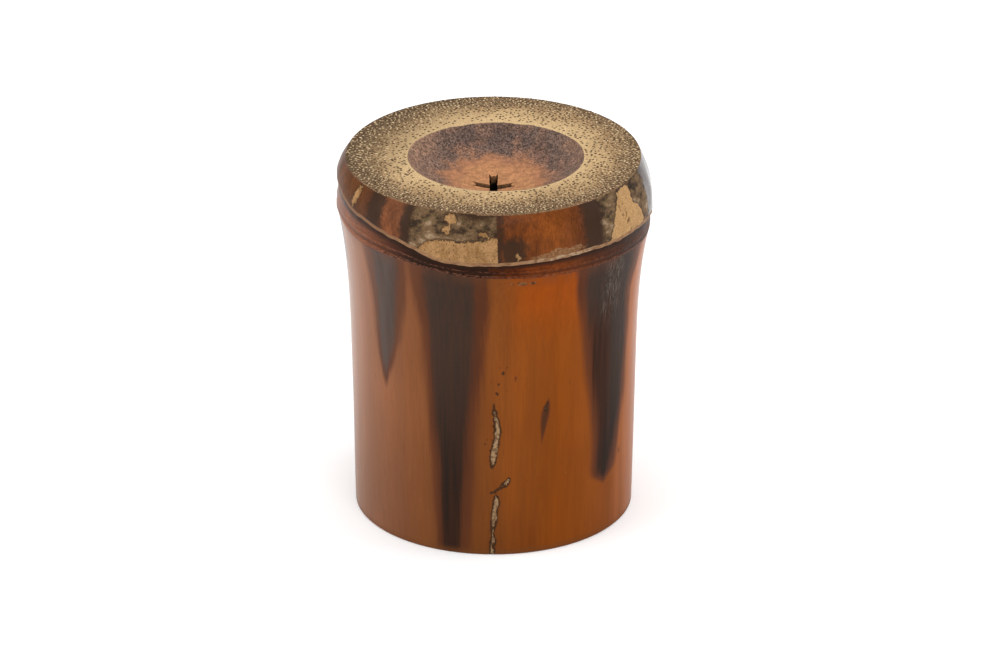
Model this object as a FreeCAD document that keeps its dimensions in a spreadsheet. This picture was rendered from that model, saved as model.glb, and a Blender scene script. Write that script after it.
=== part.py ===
"""Table torch: a bamboo culm section whose node forms a dish, with a fuel can on a pull-out base plug."""

import FreeCAD, Part
import Sketcher
import os
import re
import sys

VEC = FreeCAD.Vector

# Driving dimensions in millimetres. Heights are above the table, and radii are from the culm's axis.
SIZES = {
    # bamboo culm, outside
    "culmHeight": 93.5,
    "footRadius": 34.7,
    "waistRadius": 35.6,
    "waistHeight": 45.0,
    "flareRadius": 205.0,
    "ridgeRadius": 38.8,
    "ridgeDrop": 4.6,
    "grooveDepth": 0.5,
    "grooveDrop": 2.2,
    "lipRadius": 39.5,
    "shoulderRise": 11.5,
    "shoulderRadius": 25.0,
    "rimRadius": 36.7,
    # bamboo culm, inside
    "canClear": 2.2,
    "seatLedge": 1.5,
    "seatDepth": 10.0,
    "ceilingFillet": 7.0,
    "ceilingRise": 1.5,
    "diaphragmThick": 2.8,
    # dish in the top, and the cross cut in its floor
    "dishRadius": 22.0,
    "dishDepth": 9.2,
    "dishFloorRadius": 13.0,
    "dishFloorRise": 3.2,
    "dishCurve": 14.5,
    "dishShiftRight": 0.6,
    "dishShiftFront": 1.0,
    "slotReach": 4.1,
    "slotClear": 0.13,
    "earLength": 1.1,
    "earWidth": 0.45,
    # base plug
    "plugRecess": 1.0,
    "plugGap": 0.25,
    "plugEdge": 0.6,
    "bandWidth": 3.6,
    "bandDepth": 1.6,
    "bandGap": 0.08,
    "bandEdge": 0.4,
    "fingerRoom": 4.9,
    "fingerDepth": 3.7,
    # pull ring and its staple
    "ringRadius": 9.0,
    "ringWire": 1.1,
    "ringGap": 0.15,
    "ringRoof": 0.4,
    "stapleWire": 0.6,
    "stapleBite": 3.6,
    # saucer that carries the can
    "sheet": 0.5,
    "saucerWall": 6.5,
    "saucerLip": 0.45,
    "screwShank": 1.1,
    "screwHead": 2.9,
    "screwHeadThick": 1.3,
    "screwLength": 4.6,
    "driverWidth": 0.8,
    "driverDepth": 0.9,
    # fuel can
    "canRadius": 22.3,
    "canPanelRise": 2.4,
    "canBead": 0.55,
    "canFoot": 1.6,
    "seamGap": 0.05,
    "lidSkirt": 5.0,
    "lidDish": 1.6,
    "lidRim": 1.4,
    "ventRadius": 1.0,
    "lidVentPlace": 17.0,
    # threaded neck, ring nut and wick holder
    "edgeBreak": 0.4,
    "neckRadius": 11.0,
    "neckWall": 1.5,
    "neckRise": 5.0,
    "neckFlangeReach": 2.0,
    "neckFlangeThick": 1.0,
    "gasketThick": 0.8,
    "plateThick": 1.2,
    "plateVentPlace": 6.0,
    "nutWall": 3.08,
    "nutGap": 0.12,
    "nutSkirt": 5.2,
    "nutTop": 1.2,
    "nutLip": 2.6,
    "nutPlay": 0.02,
    "knurlDepth": 0.55,
    "tubeRadius": 1.9,
    "tubeWall": 0.65,
    "tubeClear": 3.9,
    "tubeAbove": 10.6,
    "tubeBelow": 6.5,
    "tubeCollarReach": 1.7,
    "tubeCollarThick": 0.8,
    # wick
    "wickGap": 0.25,
    "wickAbove": 3.2,
    "wickClear": 0.8,
}
KNURL_CUTS = 30

# Sizes that follow from the ones above, each an expression. A later one may name an earlier one.
DERIVED = {
    "lipHeight": "culmHeight - shoulderRise",
    "ridgeHeight": "lipHeight - ridgeDrop",
    "ceiling": "culmHeight - dishDepth - diaphragmThick",
    "boreRadius": "canRadius + canClear",
    "seatRadius": "boreRadius + seatLedge",
    "plugRadius": "seatRadius - plugGap",
    "bandTop": "(plugRecess + seatDepth + bandWidth) / 2",
    "fingerRadius": "ringRadius + ringWire + fingerRoom",
    "fingerRoof": "plugRecess + fingerDepth",
    "ringHeight": "fingerRoof - ringRoof - ringWire",
    "stapleBend": "ringWire + ringGap + stapleWire",
    "saucerTop": "seatDepth + sheet",
    "saucerBore": "canRadius + 2 * seamGap",
    "canFloor": "saucerTop + canPanelRise + sheet",
    "tubeTop": "ceiling - tubeClear",
    "plateTop": "tubeTop - tubeAbove",
    "plateBase": "plateTop - plateThick",
    "neckTop": "plateBase - gasketThick",
    "canTop": "neckTop - neckRise",
    "lidPanel": "canTop - lidDish",
    "neckBore": "neckRadius - neckWall",
    "nutRadius": "neckRadius + nutGap + nutWall",
    "plateRadius": "neckRadius - nutGap",
    "tubeBore": "tubeRadius - tubeWall",
    "wickRadius": "tubeBore - wickGap",
    "slotHalf": "(wickRadius + slotClear) / sqrt(2)",
}

doc = FreeCAD.newDocument("TableTorch")


def make_sheet():
    sheet = doc.addObject("Spreadsheet::Sheet", "Sizes")
    for row, (alias, size) in enumerate(SIZES.items(), start=1):
        sheet.set(f"A{row}", alias)
        sheet.set(f"B{row}", str(size))
        sheet.setAlias(f"B{row}", alias)
    doc.recompute()
    return sheet


sizes = make_sheet()


def bound(text):
    """The expression with derived sizes written out and each driving size's name pointing at its cell."""
    def spell(match):
        name = match[0]
        if name in DERIVED:
            return "(" + bound(DERIVED[name]) + ")"
        return "Sizes." + name if name in SIZES else name

    return re.sub(r"[A-Za-z]\w*", spell, str(text))


def value(text):
    """What the expression gives now, in millimetres."""
    return float(sizes.evalExpression(bound(text)))


def new_body(label):
    body = doc.addObject("PartDesign::Body", "Body_" + label)
    body.Label = label
    return body


def new_sketch(body, plane, lift=None):
    """A sketch on one of the body's origin planes, lifted along the plane's normal by an expression."""
    sketch = body.newObject("Sketcher::SketchObject", "Sketch")
    origin_plane = next(f for f in body.Origin.OriginFeatures if f.Role == plane)
    sketch.AttachmentSupport = [(origin_plane, "")]
    sketch.MapMode = "FlatFace"
    if lift is not None:
        sketch.setExpression("AttachmentOffset.Base.z", bound(lift))
    return sketch


def pin_point(sketch, geometry, end, x, y):
    """Holds a vertex at the place that two expressions give."""
    axes = (("DistanceX", x, -2), ("DistanceY", y, -1))
    for kind, text, axis in axes:
        if abs(value(text)) < 1e-9:
            sketch.addConstraint(Sketcher.Constraint("PointOnObject", geometry, end, axis))
        else:
            index = sketch.addConstraint(Sketcher.Constraint(kind, -1, 1, geometry, end, value(text)))
            sketch.setExpression(f"Constraints[{index}]", bound(text))


def arc_between(a, b, radius):
    """The short arc from a to b. A positive radius bends it anticlockwise, a negative one clockwise."""
    chord = b - a
    size = abs(radius)
    rise = (size**2 - (chord.Length / 2) ** 2) ** 0.5
    side = VEC(-chord.y, chord.x, 0).normalize() * (rise if radius > 0 else -rise)
    centre = a + chord / 2 + side
    middle = centre + ((a + chord / 2) - centre).normalize() * size
    return Part.Arc(a, middle, b)


def outline(sketch, corners):
    """A closed outline through corners (x, y) or (x, y, radius).

    A radius bends the edge that leaves its corner.
    """
    places = [VEC(value(c[0]), value(c[1]), 0) for c in corners]
    spans = []
    for n, corner in enumerate(corners):
        a, b = places[n], places[(n + 1) % len(places)]
        bend = value(corner[2]) if len(corner) > 2 else 0
        if bend:
            index = sketch.addGeometry(arc_between(a, b, bend), False)
            first, last = (1, 2) if bend > 0 else (2, 1)
        else:
            index = sketch.addGeometry(Part.LineSegment(a, b), False)
            first, last = 1, 2
        spans.append((index, first, last, bend))
    for n, (index, first, _, bend) in enumerate(spans):
        before = spans[n - 1]
        sketch.addConstraint(Sketcher.Constraint("Coincident", before[0], before[2], index, first))
        if bend:
            held = sketch.addConstraint(Sketcher.Constraint("Radius", index, abs(bend)))
            sketch.setExpression(f"Constraints[{held}]", bound(f"abs({corners[n][2]})"))
    for n, (index, first, _, _) in enumerate(spans):
        pin_point(sketch, index, first, corners[n][0], corners[n][1])


def circle(sketch, x, y, radius):
    index = sketch.addGeometry(Part.Circle(VEC(value(x), value(y), 0), VEC(0, 0, 1), value(radius)), False)
    held = sketch.addConstraint(Sketcher.Constraint("Radius", index, value(radius)))
    sketch.setExpression(f"Constraints[{held}]", bound(radius))
    pin_point(sketch, index, 3, x, y)


def revolve(body, corners, kind="PartDesign::Revolution", axis="V_Axis", lift=None):
    """Turns an outline in the XZ plane a full turn, as material or as a cut."""
    sketch = new_sketch(body, "XZ_Plane", lift)
    outline(sketch, corners)
    feature = body.newObject(kind, "Turned")
    feature.Profile = sketch
    feature.ReferenceAxis = (sketch, [axis])
    feature.Angle = 360
    doc.recompute()


def pocket(body, sketch, depth, upward=False):
    """Cuts a flat outline out of the body, downward from the sketch unless upward is set."""
    feature = body.newObject("PartDesign::Pocket", "Pocket")
    feature.Profile = sketch
    feature.setExpression("Length", bound(depth))
    feature.Reversed = upward
    doc.recompute()
    return feature


def drill(body, top, depth, radius, x="0", y="0", upward=False):
    """A round hole from the height top, down by depth, or up when upward is set."""
    sketch = new_sketch(body, "XY_Plane", top)
    circle(sketch, x, y, radius)
    return pocket(body, sketch, depth, upward)


def make_culm():
    """The bamboo section: internode, nodal ridge, sheath lip, sanded shoulder, diaphragm and bore."""
    body = new_body("culm")
    revolve(
        body,
        [
            ("seatRadius", "0"),
            ("footRadius", "0"),
            ("waistRadius", "waistHeight", "-flareRadius"),
            ("ridgeRadius", "ridgeHeight"),
            ("ridgeRadius - grooveDepth", "lipHeight - grooveDrop"),
            ("lipRadius", "lipHeight", "shoulderRadius"),
            ("rimRadius", "culmHeight"),
            ("0", "culmHeight"),
            ("0", "ceiling"),
            ("boreRadius - ceilingFillet", "ceiling + ceilingRise", "-ceilingFillet"),
            ("boreRadius", "ceiling + ceilingRise - ceilingFillet"),
            ("boreRadius", "seatDepth"),
            ("seatRadius", "seatDepth"),
        ],
    )
    cut_dish(body)
    cut_slot(body)
    return body


def cut_dish(body):
    """The hollow above the diaphragm: a shallow cone that curves up to the sawn face, a little off axis."""
    floor = "(culmHeight - dishDepth)"
    mid = "dishShiftRight"
    revolve(
        body,
        [
            (mid, floor),
            (f"{mid} + dishFloorRadius", f"{floor} + dishFloorRise", "dishCurve"),
            (f"{mid} + dishRadius", "culmHeight"),
            (f"{mid} + dishRadius + 2", "culmHeight + 4"),
            (mid, "culmHeight + 4"),
        ],
        kind="PartDesign::Groove",
        axis="Edge5",
        lift="dishShiftFront",
    )


def cut_slot(body):
    """The cross cut through the diaphragm. Its side cuts run on past each arm's end as small pointed ears."""
    sketch = new_sketch(body, "XY_Plane", "culmHeight")
    half, reach = "slotHalf", "slotReach"
    arm = [
        (half, half),
        (f"{half} + earWidth / 3", f"{reach} + earLength"),
        (f"{half} - earWidth", reach),
        (f"earWidth - {half}", reach),
        (f"-{half} - earWidth / 3", f"{reach} + earLength * 0.8"),
        (f"-{half}", half),
    ]
    corners = []
    for quarter in range(4):
        for x, y in arm[:-1]:
            turned = {0: (x, y), 1: (f"-({y})", x), 2: (f"-({x})", f"-({y})"), 3: (y, f"-({x})")}[quarter]
            corners.append(turned)
    outline(sketch, corners)
    pocket(body, sketch, "dishDepth + diaphragmThick + ceilingRise")


def make_base_plug():
    """Turned wooden plug with a groove for its cork band and a finger recess underneath."""
    body = new_body("base_plug")
    revolve(
        body,
        [
            ("fingerRadius", "plugRecess"),
            ("plugRadius - plugEdge", "plugRecess"),
            ("plugRadius", "plugRecess + plugEdge"),
            ("plugRadius", "bandTop - bandWidth"),
            ("plugRadius - bandDepth", "bandTop - bandWidth"),
            ("plugRadius - bandDepth", "bandTop"),
            ("plugRadius", "bandTop"),
            ("plugRadius", "seatDepth"),
            ("0", "seatDepth"),
            ("0", "fingerRoof"),
            ("fingerRadius", "fingerRoof"),
        ],
    )
    drill(body, "seatDepth", "screwLength", "screwShank")
    for place in ("ringRadius + stapleBend", "ringRadius - stapleBend"):
        drill(body, "fingerRoof", "stapleBite", "stapleWire", y=place, upward=True)
    return body


def make_plug_band():
    """Cork band that grips the turned seat, with softened outer edges."""
    body = new_body("plug_band")
    inner = "plugRadius - bandDepth"
    outer = "seatRadius - bandGap"
    revolve(
        body,
        [
            (inner, "bandTop - bandWidth"),
            (f"{outer} - bandEdge", "bandTop - bandWidth"),
            (outer, "bandTop - bandWidth + bandEdge"),
            (outer, "bandTop - bandEdge"),
            (f"{outer} - bandEdge", "bandTop"),
            (inner, "bandTop"),
        ],
    )
    return body


def make_ring_staple():
    """Brass wire staple, driven up into the plug, that the pull ring hangs from."""
    arch = doc.addObject("Part::Torus", "StapleArch")
    arch.setExpression("Radius1", bound("stapleBend"))
    arch.setExpression("Radius2", bound("stapleWire"))
    arch.Angle3 = 180
    hanging = FreeCAD.Rotation(VEC(0, 1, 0), VEC(0, 0, -1), VEC(-1, 0, 0))
    arch.Placement = FreeCAD.Placement(VEC(0, 0, 0), hanging)
    arch.setExpression("Placement.Base.y", bound("ringRadius"))
    arch.setExpression("Placement.Base.z", bound("ringHeight"))
    legs = []
    for place in ("ringRadius + stapleBend", "ringRadius - stapleBend"):
        leg = doc.addObject("Part::Cylinder", "StapleLeg")
        leg.setExpression("Radius", bound("stapleWire"))
        leg.setExpression("Height", bound("fingerRoof + stapleBite - ringHeight"))
        leg.setExpression("Placement.Base.y", bound(place))
        leg.setExpression("Placement.Base.z", bound("ringHeight"))
        legs.append(leg)
    staple = doc.addObject("Part::MultiFuse", "Staple")
    staple.Shapes = [arch, *legs]
    staple.Refine = True
    staple.Label = "ring_staple"
    return staple


def make_pull_ring():
    """Brass wire ring that lies flat in the finger recess."""
    ring = doc.addObject("Part::Torus", "PullRing")
    ring.setExpression("Radius1", bound("ringRadius"))
    ring.setExpression("Radius2", bound("ringWire"))
    ring.setExpression("Placement.Base.z", bound("ringHeight"))
    ring.Label = "pull_ring"
    return ring


def make_saucer():
    """Pressed tin saucer, screwed to the plug, that grips the can's foot."""
    body = new_body("can_saucer")
    wall_top = "(seatDepth + saucerWall)"
    revolve(
        body,
        [
            ("screwShank", "seatDepth"),
            ("saucerBore + sheet - canBead", "seatDepth", "canBead"),
            ("saucerBore + sheet", "seatDepth + canBead"),
            ("saucerBore + sheet", f"{wall_top} - sheet"),
            ("saucerBore + sheet + saucerLip", f"{wall_top} - sheet"),
            ("saucerBore + sheet + saucerLip", wall_top),
            ("saucerBore", wall_top),
            ("saucerBore", "saucerTop"),
            ("screwShank", "saucerTop"),
        ],
    )
    return body


def make_saucer_screw():
    """Brass wood screw, round head with one slot and a blunt point."""
    body = new_body("saucer_screw")
    point = "(saucerTop - screwLength)"
    dome = "(screwHead ^ 2 + screwHeadThick ^ 2 / 4) / screwHeadThick"
    revolve(
        body,
        [
            ("0", point),
            ("screwShank / 5", point),
            ("screwShank", f"{point} + screwShank"),
            ("screwShank", "saucerTop"),
            ("screwHead", "saucerTop"),
            ("screwHead", "saucerTop + screwHeadThick / 2", dome),
            ("0", "saucerTop + screwHeadThick"),
        ],
    )
    sketch = new_sketch(body, "XY_Plane", "saucerTop + screwHeadThick")
    long, half = "(screwHead + 1)", "driverWidth / 2"
    outline(sketch, [(f"-{long}", f"-{half}"), (long, f"-{half}"), (long, half), (f"-{long}", half)])
    pocket(body, sketch, "driverDepth")
    return body


def make_can_shell():
    """Drawn tin can, open at the top, with its floor raised above the foot."""
    body = new_body("can_shell")
    revolve(
        body,
        [
            ("canRadius - canFoot", "saucerTop"),
            ("canRadius - canBead", "saucerTop", "canBead"),
            ("canRadius", "saucerTop + canBead"),
            ("canRadius", "canTop"),
            ("canRadius - sheet", "canTop"),
            ("canRadius - sheet", "canFloor"),
            ("0", "canFloor"),
            ("0", "canFloor - sheet"),
            ("canRadius - canFoot", "canFloor - sheet"),
        ],
    )
    return body


def make_can_lid():
    """Pressed lid seamed over the can. It is dished, so that drips run back through the vent hole."""
    body = new_body("can_lid")
    skirt = "(canRadius + seamGap)"
    rim = "(canRadius - lidRim)"
    hole = "neckRadius + seamGap"
    revolve(
        body,
        [
            (skirt, "canTop - lidSkirt"),
            (f"{skirt} + sheet", "canTop - lidSkirt"),
            (f"{skirt} + sheet", "canTop", "sheet"),
            (skirt, "canTop + sheet"),
            (rim, "canTop + sheet"),
            (f"{rim} - lidDish", "lidPanel + sheet"),
            (hole, "lidPanel + sheet"),
            (hole, "lidPanel"),
            (f"{rim} - lidDish", "lidPanel"),
            (rim, "canTop"),
            (skirt, "canTop"),
        ],
    )
    drill(body, "lidPanel + sheet", "sheet * 2", "ventRadius", x="lidVentPlace")
    return body


def make_can_neck():
    """Brass neck soldered under the lid, threaded outside for the ring nut."""
    body = new_body("can_neck")
    revolve(
        body,
        [
            ("neckBore", "lidPanel - neckFlangeThick"),
            ("neckRadius + neckFlangeReach", "lidPanel - neckFlangeThick"),
            ("neckRadius + neckFlangeReach", "lidPanel"),
            ("neckRadius", "lidPanel"),
            ("neckRadius", "neckTop - edgeBreak"),
            ("neckRadius - edgeBreak", "neckTop"),
            ("neckBore", "neckTop"),
        ],
    )
    return body


def make_neck_gasket():
    """Flat ring between the neck and the wick plate."""
    body = new_body("neck_gasket")
    corners = [("neckBore", "neckTop"), ("plateRadius", "neckTop")]
    corners += [("plateRadius", "plateBase"), ("neckBore", "plateBase")]
    revolve(body, corners)
    return body


def make_wick_plate():
    """Brass disc that the ring nut clamps down. It holds the wick tube, and a small hole lets air in."""
    body = new_body("wick_plate")
    corners = [("tubeRadius", "plateBase"), ("plateRadius", "plateBase")]
    corners += [("plateRadius", "plateTop"), ("tubeRadius", "plateTop")]
    revolve(body, corners)
    drill(body, "plateTop", "plateThick * 2", "ventRadius", x="plateVentPlace")
    return body


def make_wick_tube():
    """Brass tube pressed into the plate, with a collar that stops it from above."""
    body = new_body("wick_tube")
    revolve(
        body,
        [
            ("tubeBore", "plateBase - tubeBelow"),
            ("tubeRadius", "plateBase - tubeBelow"),
            ("tubeRadius", "plateTop"),
            ("tubeRadius + tubeCollarReach", "plateTop"),
            ("tubeRadius + tubeCollarReach", "plateTop + tubeCollarThick"),
            ("tubeRadius", "plateTop + tubeCollarThick"),
            ("tubeRadius", "tubeTop - edgeBreak"),
            ("tubeRadius - edgeBreak", "tubeTop"),
            ("tubeBore", "tubeTop"),
        ],
    )
    return body


def make_ring_nut():
    """Knurled brass nut that turns on the neck and clamps the wick plate."""
    body = new_body("ring_nut")
    foot = "(plateTop - nutSkirt)"
    top = "(plateTop + nutTop)"
    thread = "neckRadius + nutGap"
    revolve(
        body,
        [
            (thread, foot),
            ("nutRadius - edgeBreak", foot),
            ("nutRadius", f"{foot} + edgeBreak"),
            ("nutRadius", f"{top} - edgeBreak"),
            ("nutRadius - edgeBreak", top),
            ("neckRadius - nutLip", top),
            ("neckRadius - nutLip", "plateTop + nutPlay"),
            (thread, "plateTop + nutPlay"),
        ],
    )
    sketch = new_sketch(body, "XY_Plane", top)
    circle(sketch, "nutRadius + knurlDepth", "0", "knurlDepth * 2")
    cut = pocket(body, sketch, "nutTop + nutSkirt")
    knurl = body.newObject("PartDesign::PolarPattern", "Knurl")
    knurl.Originals = [cut]
    knurl.Axis = (sketch, ["N_Axis"])
    knurl.Angle = 360
    knurl.Occurrences = KNURL_CUTS
    body.Tip = knurl
    doc.recompute()
    return body


def make_wick():
    """Braided glass wick, hanging straight from its tube to just above the can's floor."""
    wick = doc.addObject("Part::Cylinder", "Wick")
    wick.setExpression("Radius", bound("wickRadius"))
    wick.setExpression("Height", bound("tubeTop + wickAbove - canFloor - wickClear"))
    wick.setExpression("Placement.Base.z", bound("canFloor + wickClear"))
    wick.Label = "wick"
    return wick


def check_and_write(parts):
    """Stops on any failed object or bad solid, then writes one STEP file for each part."""
    doc.recompute()
    failed = [o.Label for o in doc.Objects if "Invalid" in o.State or "Error" in o.State]
    if failed:
        sys.exit(f"failed objects: {failed}")
    for part in parts:
        shape = part.Shape
        if shape.isNull() or not shape.isValid() or not shape.Solids:
            sys.exit(f"{part.Label} has no valid solid")
    os.makedirs("parts", exist_ok=True)
    for part in parts:
        part.Shape.exportStep(os.path.join("parts", part.Label + ".step"))
        print(part.Label, round(part.Shape.Volume, 1), "mm3")


check_and_write(
    [
        make_culm(),
        make_base_plug(),
        make_plug_band(),
        make_ring_staple(),
        make_pull_ring(),
        make_saucer(),
        make_saucer_screw(),
        make_can_shell(),
        make_can_lid(),
        make_can_neck(),
        make_neck_gasket(),
        make_wick_plate(),
        make_wick_tube(),
        make_ring_nut(),
        make_wick(),
    ]
)
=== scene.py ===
import math

import bpy
import numpy as np
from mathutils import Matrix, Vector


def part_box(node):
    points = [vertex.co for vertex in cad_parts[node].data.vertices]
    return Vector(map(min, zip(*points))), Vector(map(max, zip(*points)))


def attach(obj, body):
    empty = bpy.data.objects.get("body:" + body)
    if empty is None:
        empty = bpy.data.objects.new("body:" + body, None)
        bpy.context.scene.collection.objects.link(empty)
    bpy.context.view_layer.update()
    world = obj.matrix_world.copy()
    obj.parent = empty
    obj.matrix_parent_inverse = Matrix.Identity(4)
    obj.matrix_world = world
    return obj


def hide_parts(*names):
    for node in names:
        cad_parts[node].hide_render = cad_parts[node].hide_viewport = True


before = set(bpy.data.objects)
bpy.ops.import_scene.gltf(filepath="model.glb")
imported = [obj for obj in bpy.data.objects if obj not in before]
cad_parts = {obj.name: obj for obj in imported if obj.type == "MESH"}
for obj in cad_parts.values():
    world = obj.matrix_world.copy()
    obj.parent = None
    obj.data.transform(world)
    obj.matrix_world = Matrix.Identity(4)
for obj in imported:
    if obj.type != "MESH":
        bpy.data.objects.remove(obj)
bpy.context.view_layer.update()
mm = 0.001  # sizes below are in millimetres, and angles in degrees from the front towards +X
print("frame loaded")


# camera

shot = {"elevation": 24.7, "lens": 300.0, "distance": 2083.0, "aimRight": 1.6, "aimUp": 44.6}


def placeCamera(s):
    camera = bpy.data.objects.new("camera", bpy.data.cameras.new("camera"))
    bpy.context.scene.collection.objects.link(camera)
    camera.data.lens = s["lens"]
    camera.data.clip_start, camera.data.clip_end = 0.05, 20
    tilt = math.radians(s["elevation"])
    back, up = s["distance"] * math.cos(tilt), s["distance"] * math.sin(tilt)
    camera.location = (s["aimRight"] * mm, -back * mm, (s["aimUp"] + up) * mm)
    camera.rotation_euler = (math.pi / 2 - tilt, 0, 0)
    bpy.context.scene.camera = camera


placeCamera(shot)


# mesh helpers

def newObject(name, mesh):
    made = bpy.data.objects.new(name, mesh)
    bpy.context.scene.collection.objects.link(made)
    return made


def ringMesh(name, rows, firstPole, lastPole, regions=None):
    count = len(rows[0])
    points = [firstPole] + [point for row in rows for point in row] + [lastPole]
    here = np.arange(count)
    after = (here + 1) % count
    first, last = 1, 1 + (len(rows) - 1) * count
    faces = [(0, first + b, first + a) for a, b in zip(here, after)]
    marks = [regions[0] if regions else 0] * count
    for step in range(len(rows) - 1):
        low, high = 1 + step * count, 1 + (step + 1) * count
        faces += [(low + a, low + b, high + b, high + a) for a, b in zip(here, after)]
        marks += [regions[step + 1] if regions else 0] * count
    faces += [(last + a, last + b, len(points) - 1) for a, b in zip(here, after)]
    marks += [regions[-1] if regions else 0] * count
    if insideOut(points, faces):
        faces = [face[::-1] for face in faces]
    mesh = bpy.data.meshes.new(name)
    mesh.from_pydata([tuple(float(v) for v in p) for p in points], [], [tuple(int(v) for v in f) for f in faces])
    mesh.polygons.foreach_set("material_index", marks)
    return mesh


def insideOut(points, faces):
    corners = np.array(points, float)
    total = 0.0
    for face in faces:
        a, b, c = corners[face[0]], corners[face[1]], corners[face[2]]
        total += a @ np.cross(b, c)
        if len(face) == 4:
            total += a @ np.cross(c, corners[face[3]])
    return total < 0


def smoothShade(mesh, edgeAngle=35):
    mesh.polygons.foreach_set("use_smooth", [True] * len(mesh.polygons))
    mesh.set_sharp_from_angle(angle=math.radians(edgeAngle))


def settled(thing):
    depsgraph = bpy.context.evaluated_depsgraph_get()
    plain = bpy.data.meshes.new_from_object(thing.evaluated_get(depsgraph))
    thing.modifiers.clear()
    thing.data = plain
    return thing


# shader helpers

def node(tree, kind, feeds=None, **settings):
    made = tree.nodes.new(kind)
    for key, value in settings.items():
        setattr(made, key, value)
    for key, value in (feeds or {}).items():
        plug(tree, made.inputs[key], value)
    return made


def plug(tree, socket, value):
    if isinstance(value, bpy.types.NodeSocket):
        tree.links.new(value, socket)
    else:
        socket.default_value = (*value, 1.0) if isinstance(value, tuple) and len(value) == 3 and socket.type == "RGBA" else value


def maths(tree, operation, a, b=0.0, clamp=False):
    return node(tree, "ShaderNodeMath", {0: a, 1: b}, operation=operation, use_clamp=clamp).outputs[0]


def span(tree, value, low, high, toLow=0.0, toHigh=1.0):
    feeds = {"Value": value, "From Min": low, "From Max": high, "To Min": toLow, "To Max": toHigh}
    return node(tree, "ShaderNodeMapRange", feeds, interpolation_type="SMOOTHSTEP").outputs[0]


def within(tree, value, low, high, edge):
    up = span(tree, value, low - edge, low + edge)
    return maths(tree, "MULTIPLY", up, span(tree, value, high - edge, high + edge, 1.0, 0.0))


def tint(tree, share, under, over, mode="MIX"):
    return node(tree, "ShaderNodeMix", {0: share, 6: under, 7: over}, data_type="RGBA", blend_type=mode).outputs[2]


def shade(tree, colour, value, low, high, darkest, lightest):
    gain = span(tree, value, low, high, darkest, lightest)
    return node(tree, "ShaderNodeVectorMath", {0: colour, "Scale": gain}, operation="SCALE").outputs[0]


def ramp(tree, value, stops, interpolation="LINEAR"):
    made = node(tree, "ShaderNodeValToRGB", {0: value})
    band = made.color_ramp
    band.interpolation = interpolation
    while len(band.elements) < len(stops):
        band.elements.new(0.5)
    for element, (place, colour) in zip(band.elements, stops):
        element.position = place
    for element, (place, colour) in zip(band.elements, stops):
        element.color = (*colour, 1.0)
    return made.outputs[0]


def placeMm(tree):
    where = node(tree, "ShaderNodeTexCoord").outputs["Object"]
    return node(tree, "ShaderNodeVectorMath", {0: where, "Scale": 1 / mm}, operation="SCALE").outputs[0]


def stretched(tree, place, x, y, z):
    return node(tree, "ShaderNodeVectorMath", {0: place, 1: (x, y, z)}, operation="MULTIPLY").outputs[0]


def cloud(tree, place, scale=1.0, detail=2.0, roughness=0.5):
    feeds = {"Vector": place, "Scale": scale, "Detail": detail, "Roughness": roughness}
    return node(tree, "ShaderNodeTexNoise", feeds).outputs["Fac"]


def painted(tree, name):
    return node(tree, "ShaderNodeAttribute", attribute_name=name).outputs["Fac"]


def parts(tree, place):
    return node(tree, "ShaderNodeSeparateXYZ", {0: place}).outputs


def angleRound(tree, place):
    axes = parts(tree, place)
    turn = maths(tree, "ARCTAN2", axes[0], maths(tree, "MULTIPLY", axes[1], -1.0))
    return maths(tree, "MULTIPLY", turn, 180 / math.pi)


def newMaterial(name, **constants):
    material = bpy.data.materials.new(name)
    material.use_nodes = True
    tree = material.node_tree
    shader = tree.nodes["Principled BSDF"]
    for key, value in constants.items():
        shader.inputs[key.replace("_", " ")].default_value = value
    return material, tree, shader


def raised(tree, shader, height, distance, strength=1.0):
    feeds = {"Height": height, "Distance": distance * mm, "Strength": strength}
    plug(tree, shader.inputs["Normal"], node(tree, "ShaderNodeBump", feeds).outputs[0])


def newGroup(name, inputs, outputs):
    group = bpy.data.node_groups.new(name, "ShaderNodeTree")
    for label, value in inputs.items():
        group.interface.new_socket(label, in_out="INPUT", socket_type="NodeSocketFloat").default_value = value
    for label in outputs:
        group.interface.new_socket(label, in_out="OUTPUT", socket_type="NodeSocketFloat")
    return group, node(group, "NodeGroupInput").outputs, node(group, "NodeGroupOutput").inputs


def grouped(tree, group, **feeds):
    made = node(tree, "ShaderNodeGroup", node_tree=group)
    for key, value in feeds.items():
        plug(tree, made.inputs[key], value)
    return made.outputs


# shared effects: values and masks only

def makeFibreGrain():
    group, given, result = newGroup("fibreGrain", {"Fineness": 2.0, "Length": 30.0}, ["Grain", "Strands", "Fleck"])
    place = placeMm(group)
    along = maths(group, "DIVIDE", given["Fineness"], given["Length"])
    scale = node(group, "ShaderNodeCombineXYZ", {0: given["Fineness"], 1: given["Fineness"], 2: along}).outputs[0]
    fine = node(group, "ShaderNodeVectorMath", {0: place, 1: scale}, operation="MULTIPLY").outputs[0]
    plug(group, result["Grain"], cloud(group, fine, 1.0, 4.0, 0.6))
    plug(group, result["Strands"], cloud(group, fine, 0.22, 2.0, 0.5))
    short = stretched(group, fine, 1.6, 1.6, 6.0)
    plug(group, result["Fleck"], span(group, cloud(group, short, 1.0, 1.0), 0.72, 0.78))
    return group


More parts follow.
